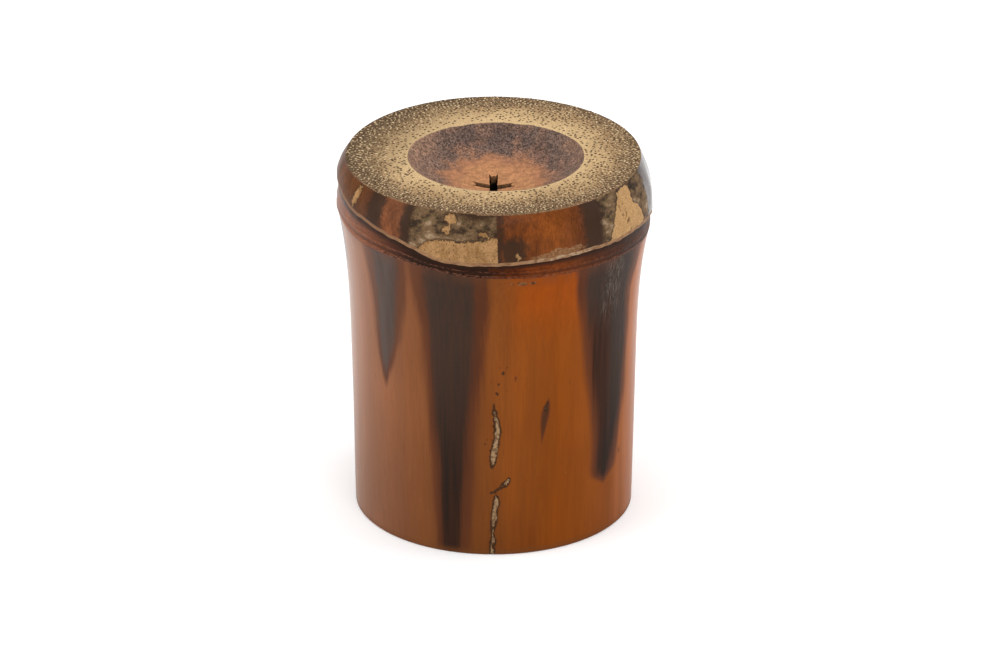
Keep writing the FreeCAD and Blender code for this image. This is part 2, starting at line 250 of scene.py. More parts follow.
def makeScuffs():
    group, given, result = newGroup("scuffs", {"Scale": 1.0, "Width": 0.012, "Cover": 0.5}, ["Lines", "Patches"])
    place = placeMm(group)
    warped = stretched(group, place, 1.3, 1.3, 0.16)
    line = cloud(group, warped, given["Scale"], 1.0)
    off = maths(group, "ABSOLUTE", maths(group, "SUBTRACT", line, 0.5))
    thin = maths(group, "SUBTRACT", 1.0, maths(group, "DIVIDE", off, given["Width"]), clamp=True)
    where = cloud(group, place, maths(group, "MULTIPLY", given["Scale"], 0.7), 3.0)
    gate = span(group, where, given["Cover"], maths(group, "ADD", given["Cover"], 0.12))
    plug(group, result["Lines"], maths(group, "MULTIPLY", thin, gate))
    plug(group, result["Patches"], gate)
    return group


def makePores():
    group, given, result = newGroup("pores", {"Density": 1.0, "Size": 0.3, "Flatten": 1.0}, ["Pore", "Tone"])
    axes = parts(group, placeMm(group))
    flat = node(group, "ShaderNodeCombineXYZ", {0: axes[0], 1: axes[1]})
    plug(group, flat.inputs[2], maths(group, "MULTIPLY", axes[2], given["Flatten"]))
    cells = node(group, "ShaderNodeTexVoronoi", {"Vector": flat.outputs[0], "Scale": given["Density"]})
    inner = maths(group, "MULTIPLY", given["Size"], 0.6)
    plug(group, result["Pore"], span(group, cells.outputs["Distance"], inner, given["Size"], 1.0, 0.0))
    plug(group, result["Tone"], parts(group, cells.outputs["Color"])[0])
    return group


fibreGrain, scuffs, pores = makeFibreGrain(), makeScuffs(), makePores()
print("shared effects made")


# the bamboo

culm = {
    "top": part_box("culm")[1].z / mm, "foot": 34.7, "taper": 0.0235, "flareFrom": 40.0, "flare": 2.4,
    "lip": 39.5, "shoulderFrom": 80.0, "shoulderFall": 3.1, "shoulderBend": 3.2, "bendAcross": -0.8, "rimRound": 0.45,
    "seat": 26.0, "seatDepth": 10.0, "bore": 24.5, "ceiling": 81.5, "ceilingRise": 1.5, "ceilingFillet": 7.0,
    "dish": 22.0, "dishRight": 0.6, "dishFront": -1.0, "dishFloor": 13.0, "dishDepth": 9.2, "dishRise": 3.2,
    "dishSag": 1.04, "dishFlat": 1.1, "slotReach": 4.4, "slotHalf": 0.93, "earLength": 1.1, "earWidth": 0.5, "scarDepth": 0.35,
}
lipHeights = [  # angle, height
    (-170, 85.6), (-140, 87.4), (-110, 88.9), (-90, 89.2), (-77, 88.9), (-64, 87.2), (-53, 86.6), (-44, 85.7),
    (-34, 84.7), (-27, 83.3), (-20.5, 81.9), (-12, 81.6), (0, 81.7), (10.5, 81.9), (23, 82.2), (36.5, 82.4),
    (50, 82.0), (60, 82.2), (75, 81.3), (90, 80.1), (120, 80.6), (150, 82.6),
]
ridgeHeights = [
    (-150, 80.6), (-110, 81.2), (-74, 80.8), (-61, 80.0), (-51, 79.8), (-34, 79.5), (-27, 78.7), (-21, 78.6),
    (-12, 77.9), (-4, 77.8), (23, 77.1), (36, 76.9), (51, 76.7), (62, 76.2), (72, 75.7), (100, 75.4), (150, 77.6),
]
streaks = [  # height, centre angle, half-width; the last row is where it ends
    [(84, -44.3, 4.3), (73, -44.5, 4.1), (65, -45.2, 3.8), (55.7, -46.2, 3.0), (49.5, -47.4, 1.5), (46, -47.7, 0.1), (41, -47.9, -1.9)],
    [(84, -17, 6.3), (70, -16.7, 6.1), (51, -16.7, 5.7), (42, -16.6, 4.9), (33, -16.2, 4.1), (24, -15.9, 3.6),
     (14.5, -16.3, 3.2), (5.5, -16.5, 2.6), (0, -16.5, 2.4)],
    [(84, 51, 8.9), (72, 52, 8.9), (64, 51, 7.5), (55, 53, 7.5), (46, 53, 6.7), (36.6, 54, 5.5), (27.5, 53, 3.8),
     (19, 51.5, 2.9), (17, 51.5, 2.3), (15.6, 51.5, 0.6), (13.5, 51.5, -2.5)],
    [(84, 118, 5.0), (60, 117, 4.4), (35, 118, 2.8), (22, 118.5, 0.4), (18, 118.5, -1.5)],
    [(84, 171, 8.0), (55, 172, 6.6), (30, 171, 4.6), (8, 171.5, 3.0), (0, 171.5, 2.4)],
    [(84, -128, 5.5), (66, -127, 4.6), (44, -129, 2.0), (37, -129, -1.0)],
    [(84, -82, 2.2), (70, -82, 1.0), (64, -82, -1.0)],
]
streakCrisp = [1.7, 1.0, 1.25, 1.0, 1.0, 1.6, 2.0]  # how fast each one's halo ends


scars = [  # a worm's track: arc from the front line, height, half-width; below nothing it leaves only a stain
    [(0.1, 41.0, -0.1), (0.3, 39.4, 0.15), (0.75, 37.2, 0.42), (0.95, 35.0, 0.55), (1.0, 33.4, 0.5), (0.55, 31.0, 0.5),
     (0.15, 28.8, 0.62), (0.0, 27.2, 0.62), (-0.25, 25.4, 0.3), (-0.3, 24.6, 0.0)],
    [(3.8, 21.0, 0.15), (3.0, 19.9, 0.42), (2.1, 19.0, 0.25)],
    [(2.1, 19.0, -0.05), (0.9, 18.1, -0.05), (-0.6, 17.3, -0.1)],
    [(0.6, 16.3, 0.1), (0.7, 15.0, 0.55), (0.35, 12.8, 0.5), (0.2, 10.8, 0.55), (-0.05, 9.0, 0.45), (-0.2, 7.2, 0.2)],
    [(-0.2, 7.2, -0.05), (-0.3, 5.2, -0.05)],
    [(-0.2, 5.3, 0.1), (-0.1, 4.0, 0.45), (-0.45, 2.6, 0.3), (-0.3, 0.2, 0.3)],
    [(0.6, 45.0, -0.02), (0.8, 44.6, -0.02)], [(1.0, 47.3, -0.25), (1.5, 48.0, -0.22)],
    [(1.9, 49.6, -0.18), (2.5, 50.6, -0.2)], [(3.1, 51.6, -0.3), (3.7, 52.3, -0.28)],
    [(1.7, 52.2, -0.3), (2.1, 52.5, -0.3)], [(0.0, 42.0, -0.3), (0.2, 41.0, -0.15)],
    [(-1.8, 32.0, -0.32), (-1.4, 32.5, -0.28)], [(-2.2, 30.6, -0.35), (-2.1, 31.0, -0.33)],
    [(13.75, 41.6, -0.34), (13.6, 40.2, -0.32)], [(13.2, 39.9, 0.1), (13.1, 39.3, 0.1)],
    [(13.6, 38.8, -0.36), (13.5, 38.0, -0.38)],
]
stains = [  # brown marks with a clear edge, as the streaks
    [(42.2, 22.5, 0.1), (40.6, 22.0, 0.7), (39, 21.4, 1.15), (37, 20.9, 1.15), (34.5, 20.3, 0.85), (32, 19.9, 0.4), (30, 19.6, 0.0)],
    [(49.5, 8.9, -0.2), (48.6, 8.7, 0.2), (47.8, 8.6, -0.2)], [(21, 62.5, -0.2), (20.2, 62.5, 0.2), (19.4, 62.5, -0.2)],
]


def roundTable(rows, angle):
    angles, values = zip(*rows)
    shifts = (-3.0, -1.5, 0.0, 1.5, 3.0)
    return sum(np.interp(angle + s, angles, values, period=360) for s in shifts) / len(shifts)


def wobble(angle, amount, seed, slowest=2, fastest=60, count=14):
    dice = np.random.default_rng(seed)
    turns = dice.integers(slowest, fastest, count)
    starts = dice.uniform(0, 2 * math.pi, count)
    waves = [np.sin(np.radians(angle) * n + s) for n, s in zip(turns, starts)]
    return amount * sum(waves) / math.sqrt(count / 2)


def bodyRadius(height, ridge):
    rise = np.clip((height - culm["flareFrom"]) / (ridge - culm["flareFrom"]), 0, 1.2)
    return culm["foot"] + culm["taper"] * height + culm["flare"] * rise**3


def shoulderRadius(height, angle):
    rise = np.clip((height - culm["shoulderFrom"]) / (culm["top"] - culm["shoulderFrom"]), 0, 1)
    bend = culm["shoulderBend"] + culm["bendAcross"] * np.sin(np.radians(angle))
    return culm["lip"] - culm["shoulderFall"] * rise**bend


def streakDepth(angle, height):
    best = np.full(np.shape(angle), -30.0)
    for rows, crisp in zip(streaks + stains, streakCrisp + [0] * len(stains)):
        heights, centres, halves = (np.array(column)[::-1] for column in zip(*rows))
        away = (angle - np.interp(height, heights, centres) + 180) % 360 - 180
        half = np.interp(height, heights, halves) - 0.55 * np.clip(heights[0] - height, 0, None)
        half = half - 0.9 * np.clip(height - heights[-1], 0, None)
        inside = half - np.abs(away) * math.radians(36)
        best = np.maximum(best, np.where(inside > 0, inside, inside * crisp) if crisp else 5.5 * inside - 1.7)
    return best


def scarDepth(angle, height):
    arc = angle * math.radians(35.7)
    best = np.full(np.shape(angle), -9.0)
    for rows in scars:
        for (x0, z0, r0), (x1, z1, r1) in zip(rows, rows[1:]):
            share = ((arc - x0) * (x1 - x0) + (height - z0) * (z1 - z0)) / ((x1 - x0) ** 2 + (z1 - z0) ** 2)
            share = np.clip(share, 0, 1)
            gap = np.hypot(arc - x0 - share * (x1 - x0), height - z0 - share * (z1 - z0))
            best = np.maximum(best, r0 + share * (r1 - r0) - gap)
    return best


def easeIn(value, low, high):
    share = np.clip((value - low) / (high - low), 0, 1)
    return share * share * (3 - 2 * share)


regions = ["endGrain", "skin", "nodeBand", "lipEdge", "shoulder", "sawnFace", "dish", "slotWall"]


def culmAngles():
    fine, mark = np.arange(-6, 9, 0.33), np.arange(18, 24, 0.3)
    return np.concatenate([fine, np.linspace(9, 18, 8, endpoint=False), mark, np.linspace(24, 354, 300, endpoint=False)])


def culmRows(angle):
    lip, ridge = roundTable(lipHeights, angle), roundTable(ridgeHeights, angle)
    lip = lip + wobble(angle, 0.07, 3, 8, 90)
    ridge = ridge + wobble(angle, 0.03, 4, 5, 30)
    turn, top = np.radians(angle), culm["top"]
    rows, marks = [], []

    def ring(radius, height, region, right=0.0, front=0.0):
        radius, height = np.broadcast_to(radius, angle.shape), np.broadcast_to(height, angle.shape)
        points = (right + radius * np.sin(turn), front - radius * np.cos(turn), height)
        rows.append(np.stack(points, -1) * mm)
        marks.append(regions.index(region))

    outer = culm["bore"] - culm["ceilingFillet"]
    for share in np.linspace(0.1, 1, 6):
        ring(outer * share, culm["ceiling"] + culm["ceilingRise"] * share, "endGrain")
    for bend in np.radians([15, 35, 55, 75, 90]):
        low = culm["ceiling"] + culm["ceilingRise"] - culm["ceilingFillet"]
        ring(outer + culm["ceilingFillet"] * np.sin(bend), low + culm["ceilingFillet"] * np.cos(bend), "endGrain")
    for height in (60, 40, 20, culm["seatDepth"]):
        ring(culm["bore"], height, "endGrain")
    for radius, height in ((culm["seat"], culm["seatDepth"]), (culm["seat"], 5), (culm["seat"], 0.3)):
        ring(radius, height, "endGrain")
    for radius in (culm["seat"] + 0.3, 29, 32, culm["foot"] - 0.35):
        ring(radius, 0, "endGrain")

    uneven = wobble(angle, 0.09, 5, 2, 9, 6)
    lows = np.concatenate([[0.35], np.arange(0.9, 46, 0.55)])
    shares = np.concatenate([np.linspace(0, 0.7, 16), np.linspace(0.72, 1, 18)[:-1]])
    for height in [low + 0 * angle for low in lows] + [46 + (ridge - 46) * share for share in shares]:
        dent = culm["scarDepth"] * easeIn(scarDepth(angle, height), -0.1, 0.35)
        ring(bodyRadius(height, ridge) + uneven * easeIn(height, 2, 30) - dent, height, "skin")

    crest, edge = bodyRadius(ridge, ridge), shoulderRadius(lip, angle)
    band = [(0, 0), (0.05, 0.03), (0.1, 0.14), (0.15, 0.18), (0.2, 0.1), (0.26, 0.06), (0.33, 0.12), (0.42, 0.25),
            (0.55, 0.36), (0.7, 0.44), (0.85, 0.5), (1, 0.55)]
    for share, sink in band:
        ring(crest + (edge - crest) * share - sink + wobble(angle, 0.012, 6, 10, 60), ridge + (lip - 1.2 - ridge) * share, "nodeBand")
    chip = 0.12 * easeIn(wobble(angle, 1, 7, 25, 95), 0.5, 1.3) * easeIn(-np.abs(angle - 26), -12, -6)
    chip = chip + 0.06 * easeIn(wobble(angle, 1, 8, 25, 95), 0.9, 1.6)
    for drop, sink in ((1.05, 0.1), (0.85, 0.0), (0.5, 0.02), (0.15, 0.06)):
        ring(edge - sink - chip * (0.4 + 0.6 * (drop < 0.9)), lip - drop, "lipEdge")

    soft = culm["rimRound"] * (1 + 0.9 * easeIn(-np.abs(angle), -75, -20))
    rim = top - soft
    for share in np.linspace(0, 1, 19):
        height = lip + (rim - lip) * share
        rough = wobble(angle, 0.05, 9, 4, 40) * math.sin(math.pi * share)
        ring(shoulderRadius(height, angle) + rough, height, "shoulder")
    rimRadius = shoulderRadius(rim, angle)
    ring(rimRadius - 0.22 * soft, top - 0.5 * soft, "shoulder")
    ring(rimRadius - 0.55 * soft, top - 0.14 * soft, "sawnFace")

    across = np.abs((angle + 180) % 360 - 180)
    jag = culm["dish"] - 0.4 + wobble(angle, 0.04, 10, 2, 14) + wobble(angle, 0.11, 11, 8, 30) * easeIn(across, 115, 155)
    jag = jag - culm["dishFlat"] * easeIn(across, 105, 165)
    rimX, rimY = (rimRadius - soft) * np.sin(turn), -(rimRadius - soft) * np.cos(turn)
    dishX, dishY = culm["dishRight"] + (jag + 0.3) * np.sin(turn), culm["dishFront"] - (jag + 0.3) * np.cos(turn)
    for step, share in enumerate(np.linspace(0, 1, 20)):
        rough = wobble(angle, 0.014, 20 + step, 6, 70) * (0 < step)
        points = (rimX + (dishX - rimX) * share, rimY + (dishY - rimY) * share, top - 0.03 + rough)
        rows.append(np.stack(points, -1) * mm)
        marks.append(regions.index("sawnFace"))

    along, drop = culm["dish"] - culm["dishFloor"], culm["dishDepth"] - culm["dishRise"]
    chord = math.hypot(along, drop)
    for share in np.linspace(0.985, 0, 19):
        sag = 4 * culm["dishSag"] * share * (1 - share)
        radius = culm["dishFloor"] + along * share + sag * drop / chord
        height = top - drop + drop * share - sag * along / chord
        rough = wobble(angle, 0.03, 50, 3, 12)
        ring(radius + (jag - culm["dish"]) * share, height + rough * (share < 0.95), "dish", culm["dishRight"], culm["dishFront"])
    for share in np.linspace(0.95, 0.04, 20):
        height = top - culm["dishDepth"] + culm["dishRise"] * share**1.15
        rough = wobble(angle, 0.03 * share, 50, 3, 12)
        ring(culm["dishFloor"] * share, height + rough, "dish", culm["dishRight"], culm["dishFront"])
    poles = (0, 0, culm["ceiling"] * mm), (culm["dishRight"] * mm, culm["dishFront"] * mm, (top - culm["dishDepth"]) * mm)
    return rows, marks + [marks[-1]], poles


def slotCutter():
    half, reach, ear, thin = culm["slotHalf"], culm["slotReach"], culm["earLength"], culm["earWidth"]
    arm = [(half, half), (half + 0.12, reach * 0.6), (half + thin / 3, reach + ear), (half - thin, reach),
           (0.15, reach + 0.35), (thin - half, reach - 0.1), (-half - thin / 3, reach + ear * 0.8), (-half - 0.1, reach * 0.5)]
    outline = []
    for quarter in range(4):
        cos, sin = round(math.cos(quarter * math.pi / 2)), round(math.sin(quarter * math.pi / 2))
        outline += [(x * cos - y * sin, x * sin + y * cos) for x, y in arm]
    heights = np.linspace(79, 91, 13)
    outward = [1 + 0.006 * abs(math.sin(7.3 * step)) for step in range(len(heights))]
    rows = [[(x * grow * mm, y * grow * mm, height * mm) for x, y in outline] for height, grow in zip(heights, outward)]
    return newObject("slotCutter", ringMesh("slotCutter", rows, (0, 0, 79 * mm), (0, 0, 91 * mm)))


def makeCulm():
    angle = culmAngles()
    rows, marks, poles = culmRows(angle)
    made = newObject("bambooCulm", ringMesh("bambooCulm", rows, *poles, regions=marks))
    for region in regions:
        made.data.materials.append(culmMaterials[region])
    cutter = slotCutter()
    for region in regions:
        cutter.data.materials.append(culmMaterials[region])
    cutter.data.polygons.foreach_set("material_index", [regions.index("slotWall")] * len(cutter.data.polygons))
    cut = made.modifiers.new("slot", "BOOLEAN")
    cut.operation, cut.object, cut.solver, cut.material_mode = "DIFFERENCE", cutter, "EXACT", "INDEX"
    settled(made)
    bpy.data.objects.remove(cutter)
    smoothShade(made.data, 38)
    paintCulm(made.data)
    return made


def oval(angle, height, place, size, lean=0.0, squareness=2.0):
    x, z = (angle - place[0]) * math.radians(38.6), height - place[1]
    cos, sin = math.cos(math.radians(lean)), math.sin(math.radians(lean))
    u, v = np.abs(x * cos + z * sin) / size[0], np.abs(z * cos - x * sin) / size[1]
    return (1 - (u**squareness + v**squareness) ** (1 / squareness)) * min(size)


def deepest(*distances):
    return np.maximum.reduce(distances)


def paintShoulder(angle, height):
    arc = math.radians(38.6)
    ledge = np.interp(angle, [-29, -27.5, -26, -23, -18, -12, -5, 0, 3], [81.8, 83.9, 85.2, 86.3, 86.8, 86.7, 87.1, 88.1, 88.3])
    frontPale = np.minimum.reduce([ledge - height, (1.5 - angle) * arc * 2.4, (angle + 28) * arc])
    leftSide = np.interp(height, [81, 84, 88, 92], [46.5, 47.8, 50.5, 54.5])
    rightSide = np.interp(height, [81, 84, 87, 88.5, 92.6], [70, 69, 66.5, 62.5, 62.5])
    rightPale = np.minimum.reduce([(angle - leftSide) * arc, (rightSide - angle) * arc, 92.7 - height])
    pale = deepest(
        frontPale, rightPale, oval(angle, height, (-61.5, 90.2), (1.05, 2.5), -14, 3),
        oval(angle, height, (-16, 91.9), (1.5, 1.25)), oval(angle, height, (-17.2, 89.2), (0.95, 0.95)),
        oval(angle, height, (8.8, 83.0), (0.55, 0.9), 10), oval(angle, height, (-3.5, 89.0), (1.3, 0.6)),
        oval(angle, height, (140, 89), (2.6, 1.8), 20, 3),
    )
    lichen = deepest(
        np.minimum.reduce([(1.4 - angle) * arc * 2.4, (angle + 32.5) * arc]),
        np.minimum.reduce([(angle - 42.5) * arc, (leftSide + 1 - angle) * arc]),
        np.minimum((angle - rightSide) * arc, (76 - angle) * arc), oval(angle, height, (146, 88), (4.5, 4.0), 0, 3),
    )
    dark = deepest(
        np.minimum((angle + 35.5) * arc, (-31.2 - angle) * arc), oval(angle, height, (-6.5, 93.2), (4.4, 1.6)),
        oval(angle, height, (7.4, 84.4), (3.2, 3.2), 0, 2.8), np.minimum((angle - 35) * arc, (43.4 - angle) * arc),
        np.minimum((angle + 52.5) * arc, (-45.2 - angle) * arc),
        np.minimum((angle - 1.0) * arc, (3.4 - angle) * arc),
    )
    line = np.interp(height, [80, 84, 86.5, 89, 92], [59.6, 58.8, 57.2, 56.4, 55.2])
    branch = np.interp(height, [84.5, 87, 92], [57.2, 54.6, 52.4])
    crack = np.minimum(np.abs(angle - line) + np.clip(height - 90, 0, 9), np.abs(angle - branch) + np.clip(84.5 - height, 0, 9))
    crack = 0.22 - crack * arc
    scuffed = deepest(
        oval(angle, height, (24, 82.6), (7.0, 1.15), 3), oval(angle, height, (23.5, 83.4), (1.7, 0.8)),
        oval(angle, height, (31.5, 83.5), (1.6, 0.7)),
    )
    return {"pale": pale, "lichen": lichen, "dark": dark, "scuffed": scuffed, "crack": crack}


def paintCulm(mesh):
    spots = np.empty(len(mesh.vertices) * 3)
    mesh.vertices.foreach_get("co", spots)
    x, y, height = spots.reshape(-1, 3).T / mm
    angle = np.degrees(np.arctan2(x, -y))
    lip, ridge = roundTable(lipHeights, angle), roundTable(ridgeHeights, angle)
    layers = paintShoulder(angle, height) | {
        "burn": streakDepth(angle, height), "scar": scarDepth(angle, height),
        "bandRise": (height - ridge) / (lip - ridge), "underRidge": ridge - height,
    }
    for name, values in layers.items():
        mesh.attributes.new(name, "FLOAT", "POINT").data.foreach_set("value", values.astype(np.float32))


# bamboo materials

def turnRamp(tree, angle, stops):
    share = node(tree, "ShaderNodeMapRange", {"Value": angle, "From Min": -180.0, "From Max": 180.0}).outputs[0]
    return ramp(tree, share, [((place + 180) / 360, colour) for place, colour in stops])


skinLook = {
    # colour around the culm by angle: the bamboo's own colour, with painted reflection in the paler stops at the left
    # (-85, -60) and at the right edge (75, 90)
    "round": [
        (-180, (0.23, 0.065, 0.012)), (-120, (0.23, 0.07, 0.018)), (-85, (0.27, 0.12, 0.058)), (-60, (0.25, 0.098, 0.044)),
        (-40, (0.2, 0.07, 0.026)), (-20, (0.185, 0.057, 0.013)), (-2, (0.175, 0.05, 0.009)), (25, (0.235, 0.055, 0.003)),
        (55, (0.22, 0.056, 0.006)), (75, (0.33, 0.105, 0.032)), (90, (0.36, 0.13, 0.05)), (130, (0.22, 0.065, 0.014)),
    ],
    # paintedTopLight is painted light: brighter orange under the ridge on the front-right
    "paintedTopLight": (0.265, 0.05, 0.001), "halo": (0.07, 0.021, 0.009), "core": (0.034, 0.021, 0.015), "coreLow": (0.016, 0.009, 0.006), "coreLeft": (0.066, 0.045, 0.036), "coreRed": (0.03, 0.008, 0.002),
    "leafMark": (0.062, 0.021, 0.007), "speck": (0.05, 0.018, 0.008),
    "scarRim": (0.035, 0.016, 0.007), "scarFill": (0.34, 0.22, 0.115), "scarFillDark": (0.17, 0.095, 0.05),
    "dust": (0.2, 0.17, 0.14), "foot": (0.13, 0.045, 0.014),
}


def skinMaterial():
    look = skinLook
    material, tree, shader = newMaterial("varnishedBamboo", Coat_Roughness=0.14, Coat_IOR=1.45, Specular_IOR_Level=0.04)
    place = placeMm(tree)
    angle = angleRound(tree, place)
    grain = grouped(tree, fibreGrain, Fineness=3.2, Length=60.0)
    bands = cloud(tree, stretched(tree, place, 0.22, 0.22, 0.012), 1.0, 3.0, 0.6)
    patches = cloud(tree, stretched(tree, place, 0.09, 0.09, 0.035), 1.0, 2.0)
    # skin colour by angle, with painted reflection at the left and right edges
    colour = turnRamp(tree, maths(tree, "ADD", angle, span(tree, bands, 0.2, 0.8, -5.0, 5.0)), look["round"])
    # painted light: richer, brighter orange on the front-right, strongest just under the ridge and fading downwards,
    # where light from above falls most
    paintedTopLight = maths(tree, "MULTIPLY", within(tree, angle, 8.0, 40.0, 7.0), span(tree, painted(tree, "underRidge"), 4.0, 24.0, 0.8, 0.0))
    colour = tint(tree, paintedTopLight, colour, look["paintedTopLight"])
    colour = shade(tree, colour, grain["Grain"], 0.3, 0.7, 0.93, 1.06)
    colour = shade(tree, colour, bands, 0.3, 0.7, 0.92, 1.06)
    # painted shade: the skin darkens towards the bottom, as the light falls from above
    colour = shade(tree, colour, parts(tree, place)[2], 2.0, 48.0, 0.8, 1.0)
    colour = shade(tree, colour, patches, 0.3, 0.7, 0.92, 1.07)
    frayed = maths(tree, "ADD", span(tree, bands, 0.25, 0.75, -1.2, 1.2), span(tree, grain["Grain"], 0.25, 0.75, -0.35, 0.35))
    burn = maths(tree, "ADD", painted(tree, "burn"), frayed)
    flared = maths(tree, "ADD", burn, span(tree, parts(tree, place)[2], 58.0, 76.0, 0.0, 1.6))
    halo = maths(tree, "MULTIPLY", span(tree, flared, -4.1, -0.9), span(tree, patches, 0.3, 0.65, 0.74, 0.95))
    colour = tint(tree, halo, colour, look["halo"])
    charred = tint(tree, span(tree, parts(tree, place)[2], 15.0, 60.0), look["coreLow"], look["core"])
    gone = maths(tree, "MULTIPLY", within(tree, angle, 40.0, 53.0, 3.0), within(tree, parts(tree, place)[2], 26.0, 62.0, 7.0))
    gone = maths(tree, "MULTIPLY", gone, span(tree, bands, 0.35, 0.6, 0.55, 0.9))
    core = span(tree, burn, -1.3, 1.7)
    leftPale = maths(tree, "MULTIPLY", within(tree, angle, -54.0, -38.0, 3.0), span(tree, bands, 0.3, 0.6, 0.45, 1.0))
    charred = tint(tree, leftPale, charred, look["coreLeft"])
    strands = span(tree, cloud(tree, stretched(tree, place, 1.1, 1.1, 0.03), 1.0, 3.0), 0.3, 0.7, 0.8, 1.0)
    leaf = maths(tree, "MULTIPLY", within(tree, angle, 16.0, 27.0, 2.0), within(tree, parts(tree, place)[2], 26.0, 46.0, 2.0))
    charred = tint(tree, gone, charred, look["coreRed"])
    charred = tint(tree, leaf, charred, look["leafMark"])
    charred = shade(tree, charred, angle, 40.0, 46.0, 1.0, 0.8)
    colour = tint(tree, maths(tree, "MULTIPLY", core, strands), colour, charred)
    nearTop = span(tree, painted(tree, "underRidge"), 0.0, 4.5, 0.45, 0.0)
    colour = tint(tree, maths(tree, "MULTIPLY", nearTop, span(tree, bands, 0.35, 0.6)), colour, (0.1, 0.034, 0.015))
    colour = tint(tree, maths(tree, "MULTIPLY", grain["Fleck"], 0.55), colour, look["speck"])
    colour = tint(tree, span(tree, parts(tree, place)[2], 0.4, 2.2, 0.6, 0.0), colour, look["foot"])
    dusty = maths(tree, "MULTIPLY", within(tree, angle, 46.5, 57.0, 3.0), within(tree, parts(tree, place)[2], 60.0, 79.0, 5.0))
    lines = grouped(tree, scuffs, Scale=1.6, Width=0.02, Cover=0.42)
    streaky = span(tree, cloud(tree, stretched(tree, place, 2.4, 2.4, 0.12), 1.0, 3.0), 0.46, 0.7)
    dusty = maths(tree, "MULTIPLY", dusty, maths(tree, "MAXIMUM", maths(tree, "MULTIPLY", lines["Lines"], 0.7), maths(tree, "MULTIPLY", streaky, 0.3)))
    nicks = maths(tree, "MULTIPLY", span(tree, cloud(tree, stretched(tree, place, 1.5, 1.5, 0.7), 1.4, 2.0), 0.77, 0.8), 0.6)
    colour = tint(tree, maths(tree, "MAXIMUM", dusty, nicks), colour, look["dust"])
    ragged = span(tree, cloud(tree, place, 0.9, 4.0, 0.65), 0.25, 0.75, -0.3, 0.3)
    scar = maths(tree, "ADD", painted(tree, "scar"), ragged)
    colour = tint(tree, span(tree, scar, -0.62, -0.26, 0.0, 0.92), colour, look["scarRim"])
    inside = span(tree, maths(tree, "ADD", scar, span(tree, grain["Grain"], 0.3, 0.7, -0.1, 0.1)), -0.08, 0.2)
    fill = tint(tree, span(tree, cloud(tree, place, 1.1, 3.0), 0.4, 0.62), look["scarFillDark"], look["scarFill"])
    colour = tint(tree, inside, colour, fill)
    plug(tree, shader.inputs["Base Color"], colour)
    plug(tree, shader.inputs["Roughness"], maths(tree, "MAXIMUM", span(tree, grain["Grain"], 0.3, 0.7, 0.36, 0.48), maths(tree, "MULTIPLY", inside, 0.85)))
    sheen = maths(tree, "ADD", span(tree, angle, -76.0, -10.0, 0.36, 0.02), span(tree, angle, 64.0, 90.0, 0.0, 0.42))
    sheen = maths(tree, "ADD", sheen, span(tree, angle, -90.0, -72.0, 0.2, 0.0))
    sheen = maths(tree, "MULTIPLY", sheen, span(tree, parts(tree, place)[2], 5.0, 75.0, 0.55, 1.3))
    plug(tree, shader.inputs["Coat Weight"], maths(tree, "MULTIPLY", sheen, span(tree, scar, -0.6, 0.1, 1.0, 0.0)))
    relief = maths(tree, "ADD", maths(tree, "MULTIPLY", grain["Grain"], 0.5), maths(tree, "MULTIPLY", grain["Strands"], 1.0))
    relief = maths(tree, "SUBTRACT", relief, maths(tree, "MULTIPLY", span(tree, scar, -0.6, 0.1), 1.5))
    raised(tree, shader, relief, 0.035)
    return material


bandLook = {
    "round": [
        (-180, (0.08, 0.024, 0.008)), (-95, (0.24, 0.1, 0.06)), (-66, (0.2, 0.075, 0.038)), (-50, (0.13, 0.042, 0.018)),
        (-38, (0.045, 0.014, 0.007)), (-30, (0.016, 0.006, 0.003)), (-2, (0.02, 0.006, 0.002)), (6, (0.07, 0.013, 0.001)),
        (24, (0.14, 0.03, 0.004)), (38, (0.07, 0.019, 0.006)), (58, (0.035, 0.014, 0.008)), (95, (0.1, 0.04, 0.022)),
        (140, (0.07, 0.02, 0.008)),
    ],
    "fleck": (0.03, 0.008, 0.004), "crest": (0.27, 0.105, 0.06), "shadow": (0.02, 0.008, 0.004),
}


